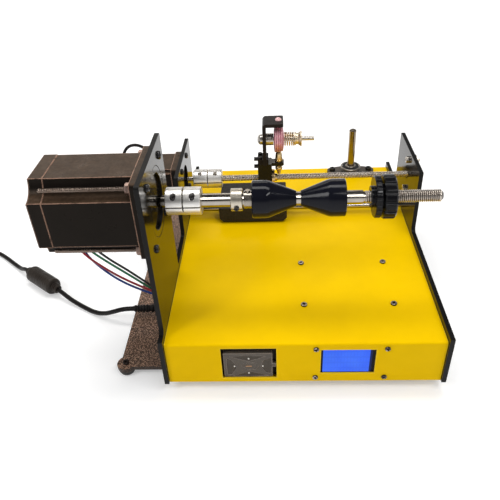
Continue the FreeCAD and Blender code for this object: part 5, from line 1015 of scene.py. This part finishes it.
# ---- floor, backdrop and light
def floor_finish():
    """Pale floor: white to the eye and to reflections, and it keeps the object's shadow."""
    f = Finish("floor_pale", Roughness=0.9, Specular_IOR_Level=0.0)
    f.colour(f.mix(f.patches(3, 3, 0.5, 0.3, 0.7), (0.80, 0.80, 0.80), (0.82, 0.82, 0.82)))
    f.put(f.shader.inputs["Emission Color"], (1, 1, 1, 1))
    path = f.node("LightPath").outputs
    seen = f.maths("MAXIMUM", f.maths("MAXIMUM", path["Is Camera Ray"], path["Is Glossy Ray"]),
                   path["Is Transmission Ray"])
    far = f.length(f.axis(0), f.axis(1))
    f.put(f.shader.inputs["Emission Strength"], f.maths("MULTIPLY", seen, f.span(far, 0.5, 2.6, 0.30, 0.72)))
    return f.material


FLOOR_REACH, FLOOR_TOP = 6.0, -0.0002
floor_mesh = bpy.data.meshes.new("floor")
floor_mesh.from_pydata([(FLOOR_REACH * a, FLOOR_REACH * b, FLOOR_TOP) for a, b in ((-1, -1), (1, -1), (1, 1), (-1, 1))],
                       [], [(0, 1, 2, 3)])
floor_mesh.materials.append(floor_finish())
placed("floor", floor_mesh)

world = bpy.data.worlds.new("studio")
scene.world = world
world.use_nodes = True
sky = Nodes(world.node_tree)
background = sky.nodes["Background"].inputs
AMBIENT = 0.50          # what lights the matt surfaces
STUDIO_DARK = 0.08      # what gloss and metal see between the white horizon and the lamps
path = sky.node("LightPath").outputs
rise = sky.node("SeparateXYZ", Vector=sky.node("TexCoord").outputs["Generated"]).outputs[2]
horizon = sky.span(rise, 0.10, 0.34, 1.0, STUDIO_DARK)
seen = sky.maths("MAXIMUM", path["Is Camera Ray"], path["Is Transmission Ray"])
shown = sky.maths("MAXIMUM", seen, sky.maths("MULTIPLY", path["Is Glossy Ray"], horizon))
others = sky.maths("SUBTRACT", 1.0, sky.maths("MAXIMUM", seen, path["Is Glossy Ray"]))
background["Color"].default_value = (1, 1, 1, 1)
sky.put(background["Strength"], sky.maths("ADD", shown, sky.maths("MULTIPLY", others, AMBIENT)))


def softbox(name, place, aim, width, height, power, colour=(1, 1, 1)):
    light = bpy.data.lights.new(name, "AREA")
    light.shape, light.size, light.size_y = "RECTANGLE", width, height
    light.energy, light.color = power, colour
    lamp = placed(name, light)
    lamp.location = place
    lamp.rotation_euler = (Vector(aim) - Vector(place)).to_track_quat("-Z", "Y").to_euler()


softbox("overhead", (0.0, 0.15, 1.35), (-0.02, 0.0, 0.1), 1.2, 0.34, 9.2, (1.0, 0.99, 0.97))
softbox("window", (-1.0, -0.9, 1.3), (0.0, 0.0, 0.1), 0.35, 0.7, 7.4)
softbox("strip", (0.5, -0.6, 1.15), (-0.05, 0.0, 0.15), 0.7, 0.10, 4.0)
softbox("back", (-0.45, 1.7, 1.2), (0.0, 0.0, 0.1), 1.8, 0.35, 4.6, (1.0, 0.95, 0.88))
